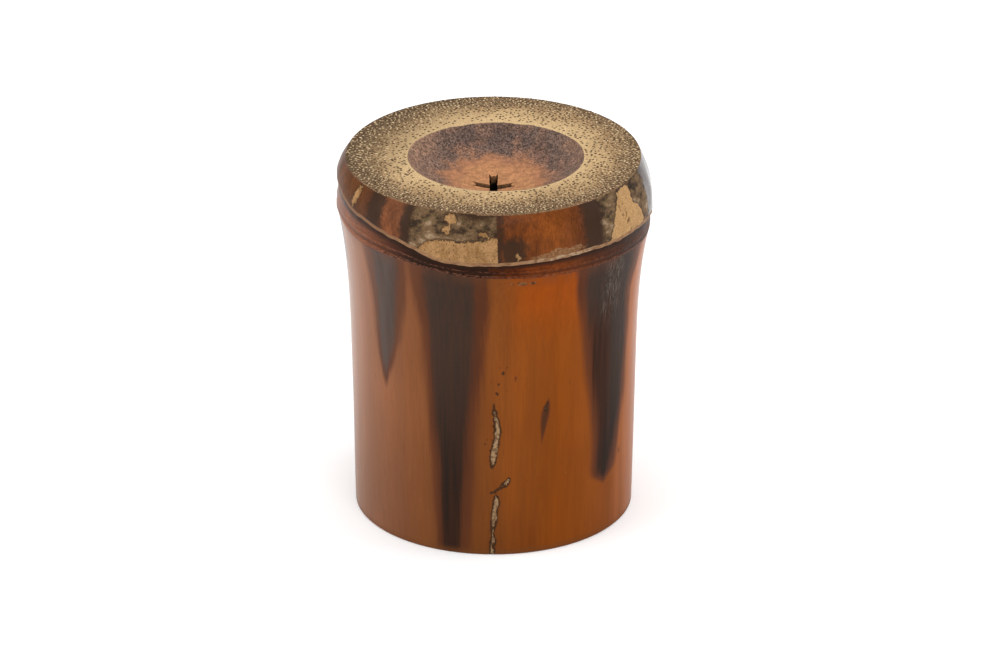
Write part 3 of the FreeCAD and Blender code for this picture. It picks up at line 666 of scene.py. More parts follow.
def nodeBandMaterial():
    look = bandLook
    material, tree, shader = newMaterial("nodeBand", Coat_Roughness=0.2, Specular_IOR_Level=0.05)
    place = placeMm(tree)
    patches = cloud(tree, stretched(tree, place, 0.5, 0.5, 0.5), 1.0, 4.0, 0.65)
    angle = maths(tree, "ADD", angleRound(tree, place), span(tree, patches, 0.25, 0.75, -4.0, 4.0))
    colour = shade(tree, turnRamp(tree, angle, look["round"]), patches, 0.3, 0.7, 0.75, 1.25)
    hoops = cloud(tree, stretched(tree, place, 0.12, 0.12, 3.2), 1.0, 3.0, 0.6)
    colour = shade(tree, colour, hoops, 0.3, 0.7, 0.82, 1.2)
    flecks = span(tree, cloud(tree, stretched(tree, place, 0.9, 0.9, 2.6), 1.0, 3.0, 0.7), 0.55, 0.66)
    colour = tint(tree, maths(tree, "MULTIPLY", flecks, 0.4), colour, look["fleck"])
    rise = painted(tree, "bandRise")
    colour = tint(tree, maths(tree, "MULTIPLY", within(tree, rise, 0.1, 0.17, 0.04), 0.55), colour, look["shadow"])
    worn = span(tree, cloud(tree, stretched(tree, place, 1.1, 1.1, 2.2), 1.0, 4.0, 0.7), 0.42, 0.6)
    crests = maths(tree, "MAXIMUM", span(tree, rise, 0.03, 0.07, 1.0, 0.0), within(tree, rise, 0.24, 0.3, 0.04))
    worn = maths(tree, "MULTIPLY", maths(tree, "MULTIPLY", worn, crests), span(tree, angle, -40.0, 10.0, 0.5, 0.28))
    colour = tint(tree, worn, colour, look["crest"])
    under = span(tree, rise, 0.4, 0.72, 0.0, 0.92)
    colour = tint(tree, under, colour, look["shadow"])
    plug(tree, shader.inputs["Base Color"], colour)
    plug(tree, shader.inputs["Roughness"], span(tree, patches, 0.3, 0.7, 0.36, 0.52))
    plug(tree, shader.inputs["Coat Weight"], maths(tree, "SUBTRACT", span(tree, angle, -80.0, -30.0, 0.16, 0.02), maths(tree, "MULTIPLY", worn, 0.02)))
    raised(tree, shader, maths(tree, "ADD", patches, hoops), 0.035)
    return material


lipLook = {"raw": (0.27, 0.145, 0.066), "stained": (0.16, 0.07, 0.028), "scuffed": (0.34, 0.22, 0.13)}


def lipEdgeMaterial():
    look = lipLook
    material, tree, shader = newMaterial("rawLipEdge", Specular_IOR_Level=0.2)
    place = placeMm(tree)
    patches = cloud(tree, stretched(tree, place, 0.6, 0.6, 1.8), 1.0, 4.0, 0.65)
    colour = tint(tree, span(tree, patches, 0.34, 0.62), look["stained"], look["raw"])
    angle = angleRound(tree, place)
    right = maths(tree, "MULTIPLY", within(tree, angle, 14.0, 38.0, 5.0), span(tree, cloud(tree, place, 0.9, 3.0), 0.46, 0.58))
    colour = tint(tree, right, colour, look["scuffed"])
    colour = tint(tree, span(tree, angle, 66.0, 100.0, 0.0, 0.55), colour, look["stained"])
    colour = tint(tree, span(tree, angle, -28.0, -44.0, 0.0, 0.6), colour, look["stained"])
    plug(tree, shader.inputs["Base Color"], colour)
    plug(tree, shader.inputs["Roughness"], span(tree, patches, 0.3, 0.7, 0.5, 0.75))
    raised(tree, shader, cloud(tree, place, 1.8, 4.0, 0.7), 0.12)
    return material


shoulderLook = {
    "round": [
        (-180, (0.1, 0.032, 0.012)), (-110, (0.1, 0.034, 0.012)), (-66, (0.095, 0.03, 0.006)), (-58, (0.1, 0.032, 0.008)),
        (-50, (0.05, 0.018, 0.009)), (-44, (0.14, 0.045, 0.016)), (-37, (0.15, 0.05, 0.018)), (-33, (0.03, 0.012, 0.007)),
        (2, (0.09, 0.026, 0.008)), (10, (0.13, 0.034, 0.007)), (24, (0.175, 0.046, 0.007)), (34, (0.1, 0.028, 0.008)),
        (44, (0.035, 0.014, 0.009)), (72, (0.07, 0.037, 0.024)), (82, (0.05, 0.034, 0.03)), (110, (0.06, 0.028, 0.016)),
        (150, (0.12, 0.036, 0.012)),
    ],
    "dark": (0.034, 0.016, 0.008), "pale": (0.33, 0.182, 0.077), "paleSoft": (0.225, 0.115, 0.042), "pit": (0.1, 0.045, 0.016),
    "lichen": (0.13, 0.077, 0.038), "lichenDark": (0.03, 0.018, 0.011), "lichenGrey": (0.33, 0.23, 0.14), "moss": (0.07, 0.062, 0.018),
    "bruise": (0.15, 0.065, 0.026), "bruisePale": (0.26, 0.14, 0.066),
}


def shoulderMaterial():
    look = shoulderLook
    material, tree, shader = newMaterial("sandedShoulder", Coat_Roughness=0.14, Specular_IOR_Level=0.06)
    place = placeMm(tree)
    patches = cloud(tree, stretched(tree, place, 0.35, 0.35, 0.2), 1.0, 3.0, 0.6)
    ragged = span(tree, cloud(tree, place, 0.9, 4.0, 0.62), 0.25, 0.75, -0.75, 0.75)
    angle = maths(tree, "ADD", angleRound(tree, place), span(tree, patches, 0.25, 0.75, -3.0, 3.0))
    colour = turnRamp(tree, angle, look["round"])
    grain = grouped(tree, fibreGrain, Fineness=3.0, Length=14.0)
    colour = shade(tree, colour, grain["Grain"], 0.3, 0.7, 0.78, 1.2)
    colour = shade(tree, colour, patches, 0.3, 0.7, 0.75, 1.25)
    mould = cloud(tree, stretched(tree, place, 0.24, 0.24, 0.42), 1.0, 4.0, 0.58)
    lichen = span(tree, maths(tree, "ADD", painted(tree, "lichen"), ragged), -0.15, 0.3)
    crust = tint(tree, span(tree, mould, 0.36, 0.54), look["lichenDark"], look["lichen"])
    crust = tint(tree, span(tree, mould, 0.54, 0.7, 0.0, 0.75), crust, look["lichenGrey"])
    mossy = span(tree, cloud(tree, place, 0.8, 2.0), 0.63, 0.7)
    crust = tint(tree, maths(tree, "MULTIPLY", mossy, 0.5), crust, look["moss"])
    crust = shade(tree, crust, cloud(tree, place, 2.6, 3.0, 0.7), 0.3, 0.7, 0.72, 1.3)
    colour = tint(tree, lichen, colour, crust)
    dark = span(tree, maths(tree, "ADD", painted(tree, "dark"), ragged), -1.1, 0.9)
    colour = tint(tree, maths(tree, "MULTIPLY", dark, 0.9), colour, look["dark"])
    paleEdge = maths(tree, "ADD", painted(tree, "pale"), maths(tree, "MULTIPLY", ragged, 0.6))
    pale = span(tree, paleEdge, -0.12, 0.22)
    colour = tint(tree, maths(tree, "MULTIPLY", span(tree, paleEdge, -0.6, -0.1), 0.7), colour, look["dark"])
    wood = tint(tree, span(tree, patches, 0.35, 0.62), look["paleSoft"], look["pale"])
    dots = grouped(tree, pores, Density=1.15, Size=0.26, Flatten=0.8)
    wood = tint(tree, maths(tree, "MULTIPLY", dots["Pore"], span(tree, dots["Tone"], 0.15, 0.4, 0.0, 0.85)), wood, look["pit"])
    wood = tint(tree, span(tree, angle, 36.0, 48.0, 0.0, 0.7), wood, (0.42, 0.25, 0.108))
    wood = shade(tree, wood, cloud(tree, place, 2.2, 3.0, 0.7), 0.34, 0.66, 0.78, 1.18)
    fissure = span(tree, maths(tree, "ADD", painted(tree, "crack"), maths(tree, "MULTIPLY", ragged, 0.3)), -0.16, 0.12)
    wood = tint(tree, maths(tree, "MULTIPLY", fissure, 0.85), wood, look["pit"])
    colour = tint(tree, pale, colour, wood)
    bruise = span(tree, maths(tree, "ADD", painted(tree, "scuffed"), maths(tree, "MULTIPLY", ragged, 0.35)), -0.1, 0.25)
    scratched = tint(tree, span(tree, cloud(tree, stretched(tree, place, 1.2, 1.2, 2.4), 1.0, 4.0, 0.7), 0.4, 0.62), look["bruise"], look["bruisePale"])
    colour = tint(tree, maths(tree, "MULTIPLY", bruise, 0.9), colour, scratched)
    plug(tree, shader.inputs["Base Color"], colour)
    rough = maths(tree, "MAXIMUM", maths(tree, "MAXIMUM", pale, bruise), maths(tree, "MULTIPLY", lichen, 0.8))
    sheen = maths(tree, "ADD", span(tree, angle, -85.0, -40.0, 0.04, 0.02), span(tree, angle, 66.0, 90.0, 0.0, 0.8))
    plug(tree, shader.inputs["Roughness"], span(tree, rough, 0.0, 1.0, 0.36, 0.7))
    plug(tree, shader.inputs["Coat Weight"], maths(tree, "MULTIPLY", sheen, span(tree, rough, 0.0, 1.0, 1.0, 0.3)))
    relief = maths(tree, "ADD", maths(tree, "MULTIPLY", rough, maths(tree, "MULTIPLY", mould, -1.2)), maths(tree, "MULTIPLY", grain["Grain"], 0.4))
    raised(tree, shader, relief, 0.1)
    return material


faceLook = {
    "outward": [(0.0, (0.56, 0.385, 0.195)), (0.3, (0.46, 0.305, 0.15)), (0.52, (0.32, 0.2, 0.095)), (0.74, (0.2, 0.125, 0.062)),
                (0.93, (0.14, 0.083, 0.04)), (1.0, (0.18, 0.1, 0.05))],
    "pale": (0.52, 0.39, 0.24), "brown": (0.11, 0.065, 0.035),
}


def sawnFaceMaterial():
    look = faceLook
    material, tree, shader = newMaterial("sawnFace", Specular_IOR_Level=0.15, Roughness=0.75)
    place = placeMm(tree)
    axes = parts(tree, place)
    flat = node(tree, "ShaderNodeCombineXYZ", {0: axes[0], 1: axes[1]}).outputs[0]
    out = node(tree, "ShaderNodeVectorMath", {0: flat}, operation="LENGTH").outputs["Value"]
    patches = cloud(tree, place, 0.12, 3.0, 0.6)
    share = node(tree, "ShaderNodeMapRange", {"Value": out, "From Min": culm["dish"], "From Max": 37.2}).outputs[0]
    uneven = maths(tree, "ADD", share, span(tree, patches, 0.25, 0.75, -0.14, 0.14), clamp=True)
    colour = ramp(tree, uneven, look["outward"])
    away = maths(tree, "SUBTRACT", maths(tree, "MULTIPLY", axes[1], 0.5), axes[0])
    colour = shade(tree, colour, away, 12.0, 36.0, 1.0, 0.62)
    fine = cloud(tree, place, 2.6, 2.0, 0.6)
    colour = shade(tree, colour, fine, 0.36, 0.64, span(tree, uneven, 0.2, 0.8, 0.72, 0.5), span(tree, uneven, 0.2, 0.8, 1.2, 1.45))
    colour = tint(tree, maths(tree, "MULTIPLY", span(tree, fine, 0.6, 0.7), maths(tree, "MULTIPLY", uneven, 0.5)), colour, look["pale"])
    colour = tint(tree, maths(tree, "MULTIPLY", span(tree, fine, 0.42, 0.34), maths(tree, "MULTIPLY", uneven, 0.6)), colour, look["brown"])
    plug(tree, shader.inputs["Base Color"], colour)
    raised(tree, shader, fine, 0.09)
    return material


dishLook = {
    "outward": [(0.0, (0.42, 0.19, 0.085)), (0.36, (0.44, 0.205, 0.09)), (0.5, (0.36, 0.16, 0.078)), (0.66, (0.19, 0.1, 0.064)),
                (0.8, (0.11, 0.064, 0.048)), (0.9, (0.17, 0.1, 0.068)), (1.0, (0.11, 0.058, 0.038))],
    "blue": (0.085, 0.06, 0.051), "dusty": (0.34, 0.23, 0.17),
}


def dishMaterial():
    look = dishLook
    material, tree, shader = newMaterial("dishWall", Specular_IOR_Level=0.2)
    place = placeMm(tree)
    axes = parts(tree, place)
    flat = node(tree, "ShaderNodeCombineXYZ", {0: axes[0], 1: axes[1]}).outputs[0]
    middle = (culm["dishRight"], culm["dishFront"], 0.0)
    out = node(tree, "ShaderNodeVectorMath", {0: flat, 1: middle}, operation="DISTANCE").outputs["Value"]
    patches = cloud(tree, place, 0.17, 4.0, 0.6)
    share = maths(tree, "DIVIDE", maths(tree, "ADD", out, span(tree, patches, 0.25, 0.75, -2.4, 2.4)), culm["dish"] + 1, clamp=True)
    colour = ramp(tree, share, look["outward"])
    wall = span(tree, share, 0.5, 0.68)
    blotch = span(tree, cloud(tree, place, 0.22, 3.0, 0.6), 0.42, 0.58)
    colour = tint(tree, maths(tree, "MULTIPLY", maths(tree, "MULTIPLY", wall, blotch), 0.65), colour, look["blue"])
    speckle = cloud(tree, place, 2.1, 4.0, 0.75)
    side = maths(tree, "MAXIMUM", span(tree, axes[0], -9.0, -19.0), span(tree, axes[0], 12.0, 21.0, 0.0, 0.5))
    colour = tint(tree, maths(tree, "MULTIPLY", maths(tree, "MULTIPLY", side, wall), 0.5), colour, (0.3, 0.17, 0.11))
    colour = shade(tree, colour, speckle, 0.36, 0.64, span(tree, wall, 0.0, 1.0, 0.8, 0.36), span(tree, wall, 0.0, 1.0, 1.2, 1.85))
    colour = shade(tree, colour, cloud(tree, place, 0.8, 3.0), 0.32, 0.68, 0.82, 1.18)
    hairs = span(tree, speckle, 0.6, 0.7, 0.0, 0.6)
    colour = tint(tree, maths(tree, "MULTIPLY", hairs, wall), colour, look["dusty"])
    plug(tree, shader.inputs["Base Color"], colour)
    plug(tree, shader.inputs["Roughness"], span(tree, speckle, 0.3, 0.7, 0.6, 0.8))
    raised(tree, shader, maths(tree, "ADD", speckle, patches), 0.2)
    return material


# charAndSlotShade is char from the flame and painted shade in the depths of the narrow slot
slotLook = {"fresh": (0.26, 0.13, 0.06), "charAndSlotShade": (0.008, 0.006, 0.005)}


def slotWallMaterial():
    look = slotLook
    material, tree, shader = newMaterial("slotWall", Specular_IOR_Level=0.1, Roughness=0.85)
    place = placeMm(tree)
    depth = maths(tree, "ADD", parts(tree, place)[2], span(tree, cloud(tree, place, 1.2, 3.0), 0.3, 0.7, -0.5, 0.5))
    # near black deeper in the slot: char from the flame, and painted shade where the narrow slot gets little light
    colour = tint(tree, span(tree, depth, 83.3, 84.9), look["charAndSlotShade"], look["fresh"])
    plug(tree, shader.inputs["Base Color"], shade(tree, colour, cloud(tree, place, 3.0), 0.3, 0.7, 0.7, 1.3))
    raised(tree, shader, cloud(tree, place, 2.0, 3.0), 0.1)
    return material


endGrainLook = {"wood": (0.36, 0.24, 0.13), "shadow": (0.22, 0.13, 0.065), "bundle": (0.09, 0.045, 0.02)}


def endGrainMaterial():
    look = endGrainLook
    material, tree, shader = newMaterial("rawBore", Specular_IOR_Level=0.2, Roughness=0.78)
    place = placeMm(tree)
    grain = grouped(tree, fibreGrain, Fineness=2.4, Length=20.0)
    colour = tint(tree, span(tree, grain["Strands"], 0.35, 0.65), look["shadow"], look["wood"])
    dots = grouped(tree, pores, Density=1.5, Size=0.32, Flatten=0.12)
    colour = tint(tree, maths(tree, "MULTIPLY", dots["Pore"], span(tree, dots["Tone"], 0.2, 0.5, 0.2, 0.9)), colour, look["bundle"])
    colour = shade(tree, colour, grain["Grain"], 0.3, 0.7, 0.8, 1.2)
    plug(tree, shader.inputs["Base Color"], colour)
    raised(tree, shader, grain["Grain"], 0.12)
    return material


culmMaterials = {
    "endGrain": endGrainMaterial(), "skin": skinMaterial(), "nodeBand": nodeBandMaterial(), "lipEdge": lipEdgeMaterial(),
    "shoulder": shoulderMaterial(), "sawnFace": sawnFaceMaterial(), "dish": dishMaterial(), "slotWall": slotWallMaterial(),
}
bamboo = makeCulm()
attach(bamboo, "bamboo_shell")
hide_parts("culm")
print("bamboo made", len(bamboo.data.polygons), "faces")


# fibre bundles on the sawn face, and bud scars under the ridge

def geometryTree(name, sizes):
    tree = bpy.data.node_groups.new(name, "GeometryNodeTree")
    face = tree.interface
    face.new_socket("Geometry", in_out="INPUT", socket_type="NodeSocketGeometry")
    for label, value in sizes.items():
        kind = "NodeSocketInt" if isinstance(value, int) else "NodeSocketFloat"
        face.new_socket(label, in_out="INPUT", socket_type=kind).default_value = value
    face.new_socket("Geometry", in_out="OUTPUT", socket_type="NodeSocketGeometry")
    return tree, node(tree, "NodeGroupInput").outputs, node(tree, "NodeGroupOutput").inputs


def endTree(tree, instances, material, result):
    real = node(tree, "GeometryNodeRealizeInstances", {"Geometry": instances}).outputs[0]
    dressed = node(tree, "GeometryNodeSetMaterial", {"Geometry": real, "Material": material}).outputs[0]
    plug(tree, result[0], dressed)


def grown(name, base, tree, sizes):
    made = newObject(name, base)
    grow = made.modifiers.new("grow", "NODES")
    grow.node_group = tree
    for socket in tree.interface.items_tree:
        if socket.in_out == "INPUT" and socket.name in sizes:
            grow[socket.identifier] = sizes[socket.name]
    return settled(made)


darkBundles = {"Spacing": 0.00078, "Inner share": 0.58, "Width": 0.00034, "Lift": 0.00013, "Longest": 1.3, "Scatter": 0.7, "Seed": 11}
paleBundles = {"Spacing": 0.00076, "Inner share": 0.0, "Width": 0.0002, "Lift": 0.00015, "Longest": 2.8, "Scatter": 0.5, "Seed": 29}


def bundleTree(material):
    tree, given, result = geometryTree("fibreBundles", darkBundles)
    place = node(tree, "GeometryNodeInputPosition").outputs[0]
    axes = node(tree, "ShaderNodeSeparateXYZ", {0: place}).outputs
    flat = node(tree, "ShaderNodeCombineXYZ", {0: axes[0], 1: axes[1]}).outputs[0]
    out = node(tree, "ShaderNodeVectorMath", {0: flat}, operation="LENGTH").outputs["Value"]
    feeds = {"Value": out, "From Min": (culm["dish"] + 1) * mm, "From Max": 33.5 * mm, "To Min": given["Inner share"], "To Max": 1.0}
    share = node(tree, "ShaderNodeMapRange", feeds).outputs[0]
    density = maths(tree, "DIVIDE", 1.6, maths(tree, "MULTIPLY", given["Spacing"], given["Spacing"]))
    scatter = node(tree, "GeometryNodeDistributePointsOnFaces", distribute_method="POISSON")
    for label, value in (("Mesh", given["Geometry"]), ("Distance Min", given["Spacing"]), ("Density Max", density),
                         ("Density Factor", share), ("Seed", given["Seed"])):
        plug(tree, scatter.inputs[label], value)
    outward = node(tree, "ShaderNodeMath", {0: axes[1], 1: axes[0]}, operation="ARCTAN2").outputs[0]
    sway = node(tree, "FunctionNodeRandomValue", {2: maths(tree, "MULTIPLY", given["Scatter"], -1.0), 3: given["Scatter"], "Seed": 3}).outputs[1]
    turn = node(tree, "ShaderNodeCombineXYZ", {2: maths(tree, "ADD", outward, sway)}).outputs[0]
    turn = node(tree, "FunctionNodeEulerToRotation", {0: turn}).outputs[0]
    longest = node(tree, "FunctionNodeRandomValue", {2: 0.8, 3: given["Longest"], "Seed": 5}).outputs[1]
    size = node(tree, "ShaderNodeCombineXYZ", {0: longest, 1: node(tree, "FunctionNodeRandomValue", {2: 0.7, 3: 1.25, "Seed": 7}).outputs[1], 2: 1.0}).outputs[0]
    feeds = {"Vertices": 6, "Radius Top": 0.0, "Radius Bottom": given["Width"], "Depth": given["Lift"]}
    bundle = node(tree, "GeometryNodeMeshCone", feeds, fill_type="TRIANGLE_FAN").outputs[0]
    spread = node(tree, "GeometryNodeInstanceOnPoints", {"Points": scatter.outputs["Points"], "Instance": bundle, "Rotation": turn, "Scale": size})
    endTree(tree, spread.outputs[0], material, result)
    return tree


def faceRing():
    angle = np.arange(0, 360, 2.0)
    turn = np.radians(angle)
    inner, outer = culm["dish"] + 0.45, shoulderRadius(culm["top"], 0) - 0.15
    rows = []
    for share in np.linspace(0, 1, 9):
        x = (culm["dishRight"] + inner * np.sin(turn)) * (1 - share) + outer * np.sin(turn) * share
        y = (culm["dishFront"] - inner * np.cos(turn)) * (1 - share) - outer * np.cos(turn) * share
        rows.append(np.stack([x, y, np.full(len(turn), culm["top"] - 0.03)], -1) * mm)
    points, count = np.concatenate(rows), len(turn)
    faces = []
    for step in range(len(rows) - 1):
        for here in range(count):
            after = (here + 1) % count
            faces.append((step * count + here, step * count + after, (step + 1) * count + after, (step + 1) * count + here))
    mesh = bpy.data.meshes.new("faceRing")
    mesh.from_pydata(points.tolist(), [], faces)
    return mesh


def bundleMaterial(name, dark, light):
    material, tree, shader = newMaterial(name, Specular_IOR_Level=0.15, Roughness=0.7)
    place = placeMm(tree)
    colour = tint(tree, span(tree, cloud(tree, place, 1.1, 2.0), 0.35, 0.65), dark, light)
    plug(tree, shader.inputs["Base Color"], colour)
    raised(tree, shader, cloud(tree, place, 6.0, 2.0), 0.03)
    return material


darkBundle = bundleMaterial("darkBundle", (0.035, 0.017, 0.007), (0.1, 0.055, 0.026))
paleBundle = bundleMaterial("paleBundle", (0.36, 0.25, 0.13), (0.66, 0.5, 0.3))
bundlePieces = [
    grown("darkFibreBundles", faceRing(), bundleTree(darkBundle), darkBundles),
    grown("paleFibreBundles", faceRing(), bundleTree(paleBundle), paleBundles),
]

budScars = {"Gap": 0.0023, "Keep": 0.9, "Length": 0.0013, "Height": 0.00055, "Depth": 0.0002, "Seed": 5}


def budTree(material):
    tree, given, result = geometryTree("budScars", budScars)
    curve = node(tree, "GeometryNodeMeshToCurve", {"Mesh": given["Geometry"]}).outputs[0]
    spots = node(tree, "GeometryNodeCurveToPoints", {"Curve": curve, "Length": given["Gap"]}, mode="LENGTH").outputs
    kept = node(tree, "FunctionNodeRandomValue", {"Probability": given["Keep"], "Seed": given["Seed"]}, data_type="BOOLEAN").outputs[3]
    turned = node(tree, "FunctionNodeAlignEulerToVector", {"Vector": spots["Tangent"]}, axis="X").outputs[0]
    turned = node(tree, "FunctionNodeEulerToRotation", {0: turned}).outputs[0]
    size = node(tree, "ShaderNodeCombineXYZ", {0: given["Length"], 1: given["Depth"], 2: given["Height"]}).outputs[0]
    grow = node(tree, "FunctionNodeRandomValue", {2: 0.6, 3: 1.2, "Seed": 8}).outputs[1]
    size = node(tree, "ShaderNodeVectorMath", {0: size, "Scale": grow}, operation="SCALE").outputs[0]
    bud = node(tree, "GeometryNodeMeshUVSphere", {"Segments": 10, "Rings": 6, "Radius": 1.0}).outputs[0]
    feeds = {"Points": spots["Points"], "Selection": kept, "Instance": bud, "Rotation": turned, "Scale": size}
    endTree(tree, node(tree, "GeometryNodeInstanceOnPoints", feeds).outputs[0], material, result)
    return tree


budPlaces = [(2.5, 15), (133, 140), (-99, -92)]  # from angle, to angle


def ridgeLine():
    angle = np.concatenate([np.arange(low, high, 1.0) for low, high in budPlaces])
    ends = np.cumsum([len(np.arange(low, high, 1.0)) for low, high in budPlaces])
    ridge = roundTable(ridgeHeights, angle)
    height = ridge - 1.9
    radius = bodyRadius(height, ridge) + 0.02
    points = np.stack([radius * np.sin(np.radians(angle)), -radius * np.cos(np.radians(angle)), height], -1) * mm
    mesh = bpy.data.meshes.new("ridgeLine")
    mesh.from_pydata(points.tolist(), [(k, k + 1) for k in range(len(angle) - 1) if k + 1 not in ends], [])
    return mesh


def budMaterial():
    material, tree, shader = newMaterial("budScar", Specular_IOR_Level=0.05)
    place = placeMm(tree)
    patches = cloud(tree, place, 1.2, 3.0)
    plug(tree, shader.inputs["Base Color"], tint(tree, span(tree, patches, 0.4, 0.6), (0.06, 0.02, 0.007), (0.19, 0.08, 0.03)))
    plug(tree, shader.inputs["Roughness"], span(tree, patches, 0.3, 0.7, 0.4, 0.6))
    return material


bundlePieces.append(grown("budScars", ridgeLine(), budTree(budMaterial()), budScars))
for piece in bundlePieces:
    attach(piece, "bamboo_shell")
    print(piece.name, len(piece.data.polygons), "faces")


# wick

wick = {
    "low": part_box("wick")[0].z / mm, "high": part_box("wick")[1].z / mm, "exit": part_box("wick_tube")[1].z / mm,
    "radius": 1.0, "plaits": 6, "plaitPitch": 3.2, "plaitDepth": 0.13, "sides": 30, "rowStep": 0.25,
}


def wickPath(w):
    curve = bpy.data.curves.new("wickRoute", "CURVE")
    curve.dimensions = "3D"
    spline = curve.splines.new("NURBS")
    spline.points.add(1)
    for point, height in zip(spline.points, (w["high"], w["low"])):
        point.co = (0, 0, height * mm, 1)
    spline.order_u = 3
    spline.use_endpoint_u = True
    route = newObject("wickRoute", curve)
    bpy.context.view_layer.update()
    line = bpy.data.meshes.new_from_object(route.evaluated_get(bpy.context.evaluated_depsgraph_get()))
    path = [tuple(v.co) for v in line.vertices]
    bpy.data.objects.remove(route)
    return path


def makeWick(w, path):
    (x0, y0, z0), (x1, y1, z1) = path[0], path[-1]
    length = abs(z1 - z0) / mm
    turn = np.arange(w["sides"]) * 2 * math.pi / w["sides"]
    rows = []
    for along in np.linspace(0, length, int(length / w["rowStep"])):
        twist = 2 * math.pi * along / w["plaitPitch"] / 2
        over = np.abs(np.sin(turn * w["plaits"] / 2 + twist)) * np.abs(np.sin(turn * w["plaits"] / 2 - twist))
        frayed = 1 - 0.14 * max(0.0, 1 - along / 0.8)
        radius = w["radius"] * frayed - w["plaitDepth"] * (1 - over)
        height = z0 + (z1 - z0) * along / length
        rows.append(np.stack([radius * mm * np.cos(turn), radius * mm * np.sin(turn), np.full(len(turn), height)], -1))
    made = newObject("braidedWick", ringMesh("braidedWick", rows, path[0], path[-1]))
    smoothShade(made.data, 60)
    return made


wickLook = {"thread": (0.72, 0.68, 0.58), "soiled": (0.42, 0.36, 0.27), "charred": (0.02, 0.018, 0.016), "charTo": 79.4}


def wickMaterial():
    look = wickLook
    material, tree, shader = newMaterial("glassBraid", Sheen_Weight=0.3, Roughness=0.8, Specular_IOR_Level=0.3)
    place = placeMm(tree)
    threads = cloud(tree, place, 4.0, 2.0)
    colour = tint(tree, span(tree, cloud(tree, place, 0.25, 3.0), 0.35, 0.65), look["soiled"], look["thread"])
    colour = shade(tree, colour, threads, 0.3, 0.7, 0.75, 1.15)
    height = maths(tree, "ADD", parts(tree, place)[2], span(tree, threads, 0.3, 0.7, -0.5, 0.5))
    colour = tint(tree, span(tree, height, look["charTo"] - 0.6, look["charTo"] + 0.6), colour, look["charred"])
    plug(tree, shader.inputs["Base Color"], colour)
    raised(tree, shader, threads, 0.06)
    return material


path = wickPath(wick)
braid = makeWick(wick, path)
braid.data.materials.append(wickMaterial())
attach(braid, "wick_cord")
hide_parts("wick")
print("wick made")


# fittings: the CAD shapes with their own finishes

woodLook = {"pale": (0.42, 0.26, 0.13), "dark": (0.24, 0.13, 0.055), "worn": (0.5, 0.34, 0.19)}


def turnedWood():
    look = woodLook
    material, tree, shader = newMaterial("turnedBeech", Coat_Weight=0.15, Coat_Roughness=0.3, Specular_IOR_Level=0.3)
    place = placeMm(tree)
    across = stretched(tree, place, 1.0, 0.12, 1.0)
    rings = cloud(tree, across, 0.32, 3.0, 0.6)
    rays = cloud(tree, stretched(tree, place, 1.2, 0.15, 1.2), 1.5, 3.0)
    colour = tint(tree, span(tree, rings, 0.35, 0.65), look["dark"], look["pale"])
    colour = shade(tree, colour, rays, 0.3, 0.7, 0.82, 1.15)
    scuffed = grouped(tree, scuffs, Scale=0.6, Width=0.03, Cover=0.5)
    colour = tint(tree, maths(tree, "MULTIPLY", scuffed["Lines"], 0.6), colour, look["worn"])
    plug(tree, shader.inputs["Base Color"], colour)
    plug(tree, shader.inputs["Roughness"], span(tree, rays, 0.3, 0.7, 0.42, 0.6))
    raised(tree, shader, rays, 0.05)
    return material


def corkMaterial():
    material, tree, shader = newMaterial("cork", Roughness=0.85, Specular_IOR_Level=0.2)
    place = placeMm(tree)
    cells = grouped(tree, pores, Density=0.85, Size=0.6, Flatten=1.0)
    pits = grouped(tree, pores, Density=0.5, Size=0.24, Flatten=1.0)
    colour = tint(tree, cells["Tone"], (0.33, 0.19, 0.09), (0.5, 0.32, 0.17))
    colour = tint(tree, maths(tree, "MULTIPLY", pits["Pore"], 0.85), colour, (0.09, 0.045, 0.02))
    colour = shade(tree, colour, cloud(tree, place, 2.0, 3.0), 0.3, 0.7, 0.8, 1.15)
    plug(tree, shader.inputs["Base Color"], colour)
    raised(tree, shader, maths(tree, "SUBTRACT", cells["Pore"], pits["Pore"]), 0.12)
    return material


def metalMaterial(name, bright, dull, stain, rough, streaks, scale):
    material, tree, shader = newMaterial(name)
    place = placeMm(tree)
    patches = cloud(tree, place, scale, 4.0, 0.6)
    brushed = cloud(tree, stretched(tree, place, *streaks), 1.0, 3.0, 0.6)
    colour = tint(tree, span(tree, patches, 0.35, 0.65), dull, bright)
    tarnish = grouped(tree, scuffs, Scale=0.5, Width=0.02, Cover=0.52)
    stained = maths(tree, "MULTIPLY", tarnish["Patches"], span(tree, cloud(tree, place, 1.6, 4.0, 0.7), 0.42, 0.62, 0.0, 0.6))
    colour = tint(tree, stained, colour, stain)
    plug(tree, shader.inputs["Base Color"], colour)
    plug(tree, shader.inputs["Metallic"], span(tree, stained, 0.0, 1.0, 1.0, 0.55))
    worn = maths(tree, "ADD", span(tree, brushed, 0.3, 0.7, rough, rough + 0.16), maths(tree, "MULTIPLY", stained, 0.3))
    plug(tree, shader.inputs["Roughness"], maths(tree, "ADD", worn, maths(tree, "MULTIPLY", tarnish["Lines"], 0.1)))
    raised(tree, shader, maths(tree, "SUBTRACT", brushed, tarnish["Lines"]), 0.015)
    return material


def rubberMaterial():
    material, tree, shader = newMaterial("gasketRubber", Specular_IOR_Level=0.35)
    place = placeMm(tree)
    bloom = cloud(tree, place, 0.6, 4.0, 0.6)
    plug(tree, shader.inputs["Base Color"], tint(tree, span(tree, bloom, 0.4, 0.7), (0.022, 0.022, 0.024), (0.07, 0.068, 0.066)))
    plug(tree, shader.inputs["Roughness"], span(tree, bloom, 0.3, 0.7, 0.5, 0.7))
    raised(tree, shader, cloud(tree, place, 5.0, 2.0), 0.02)
    return material


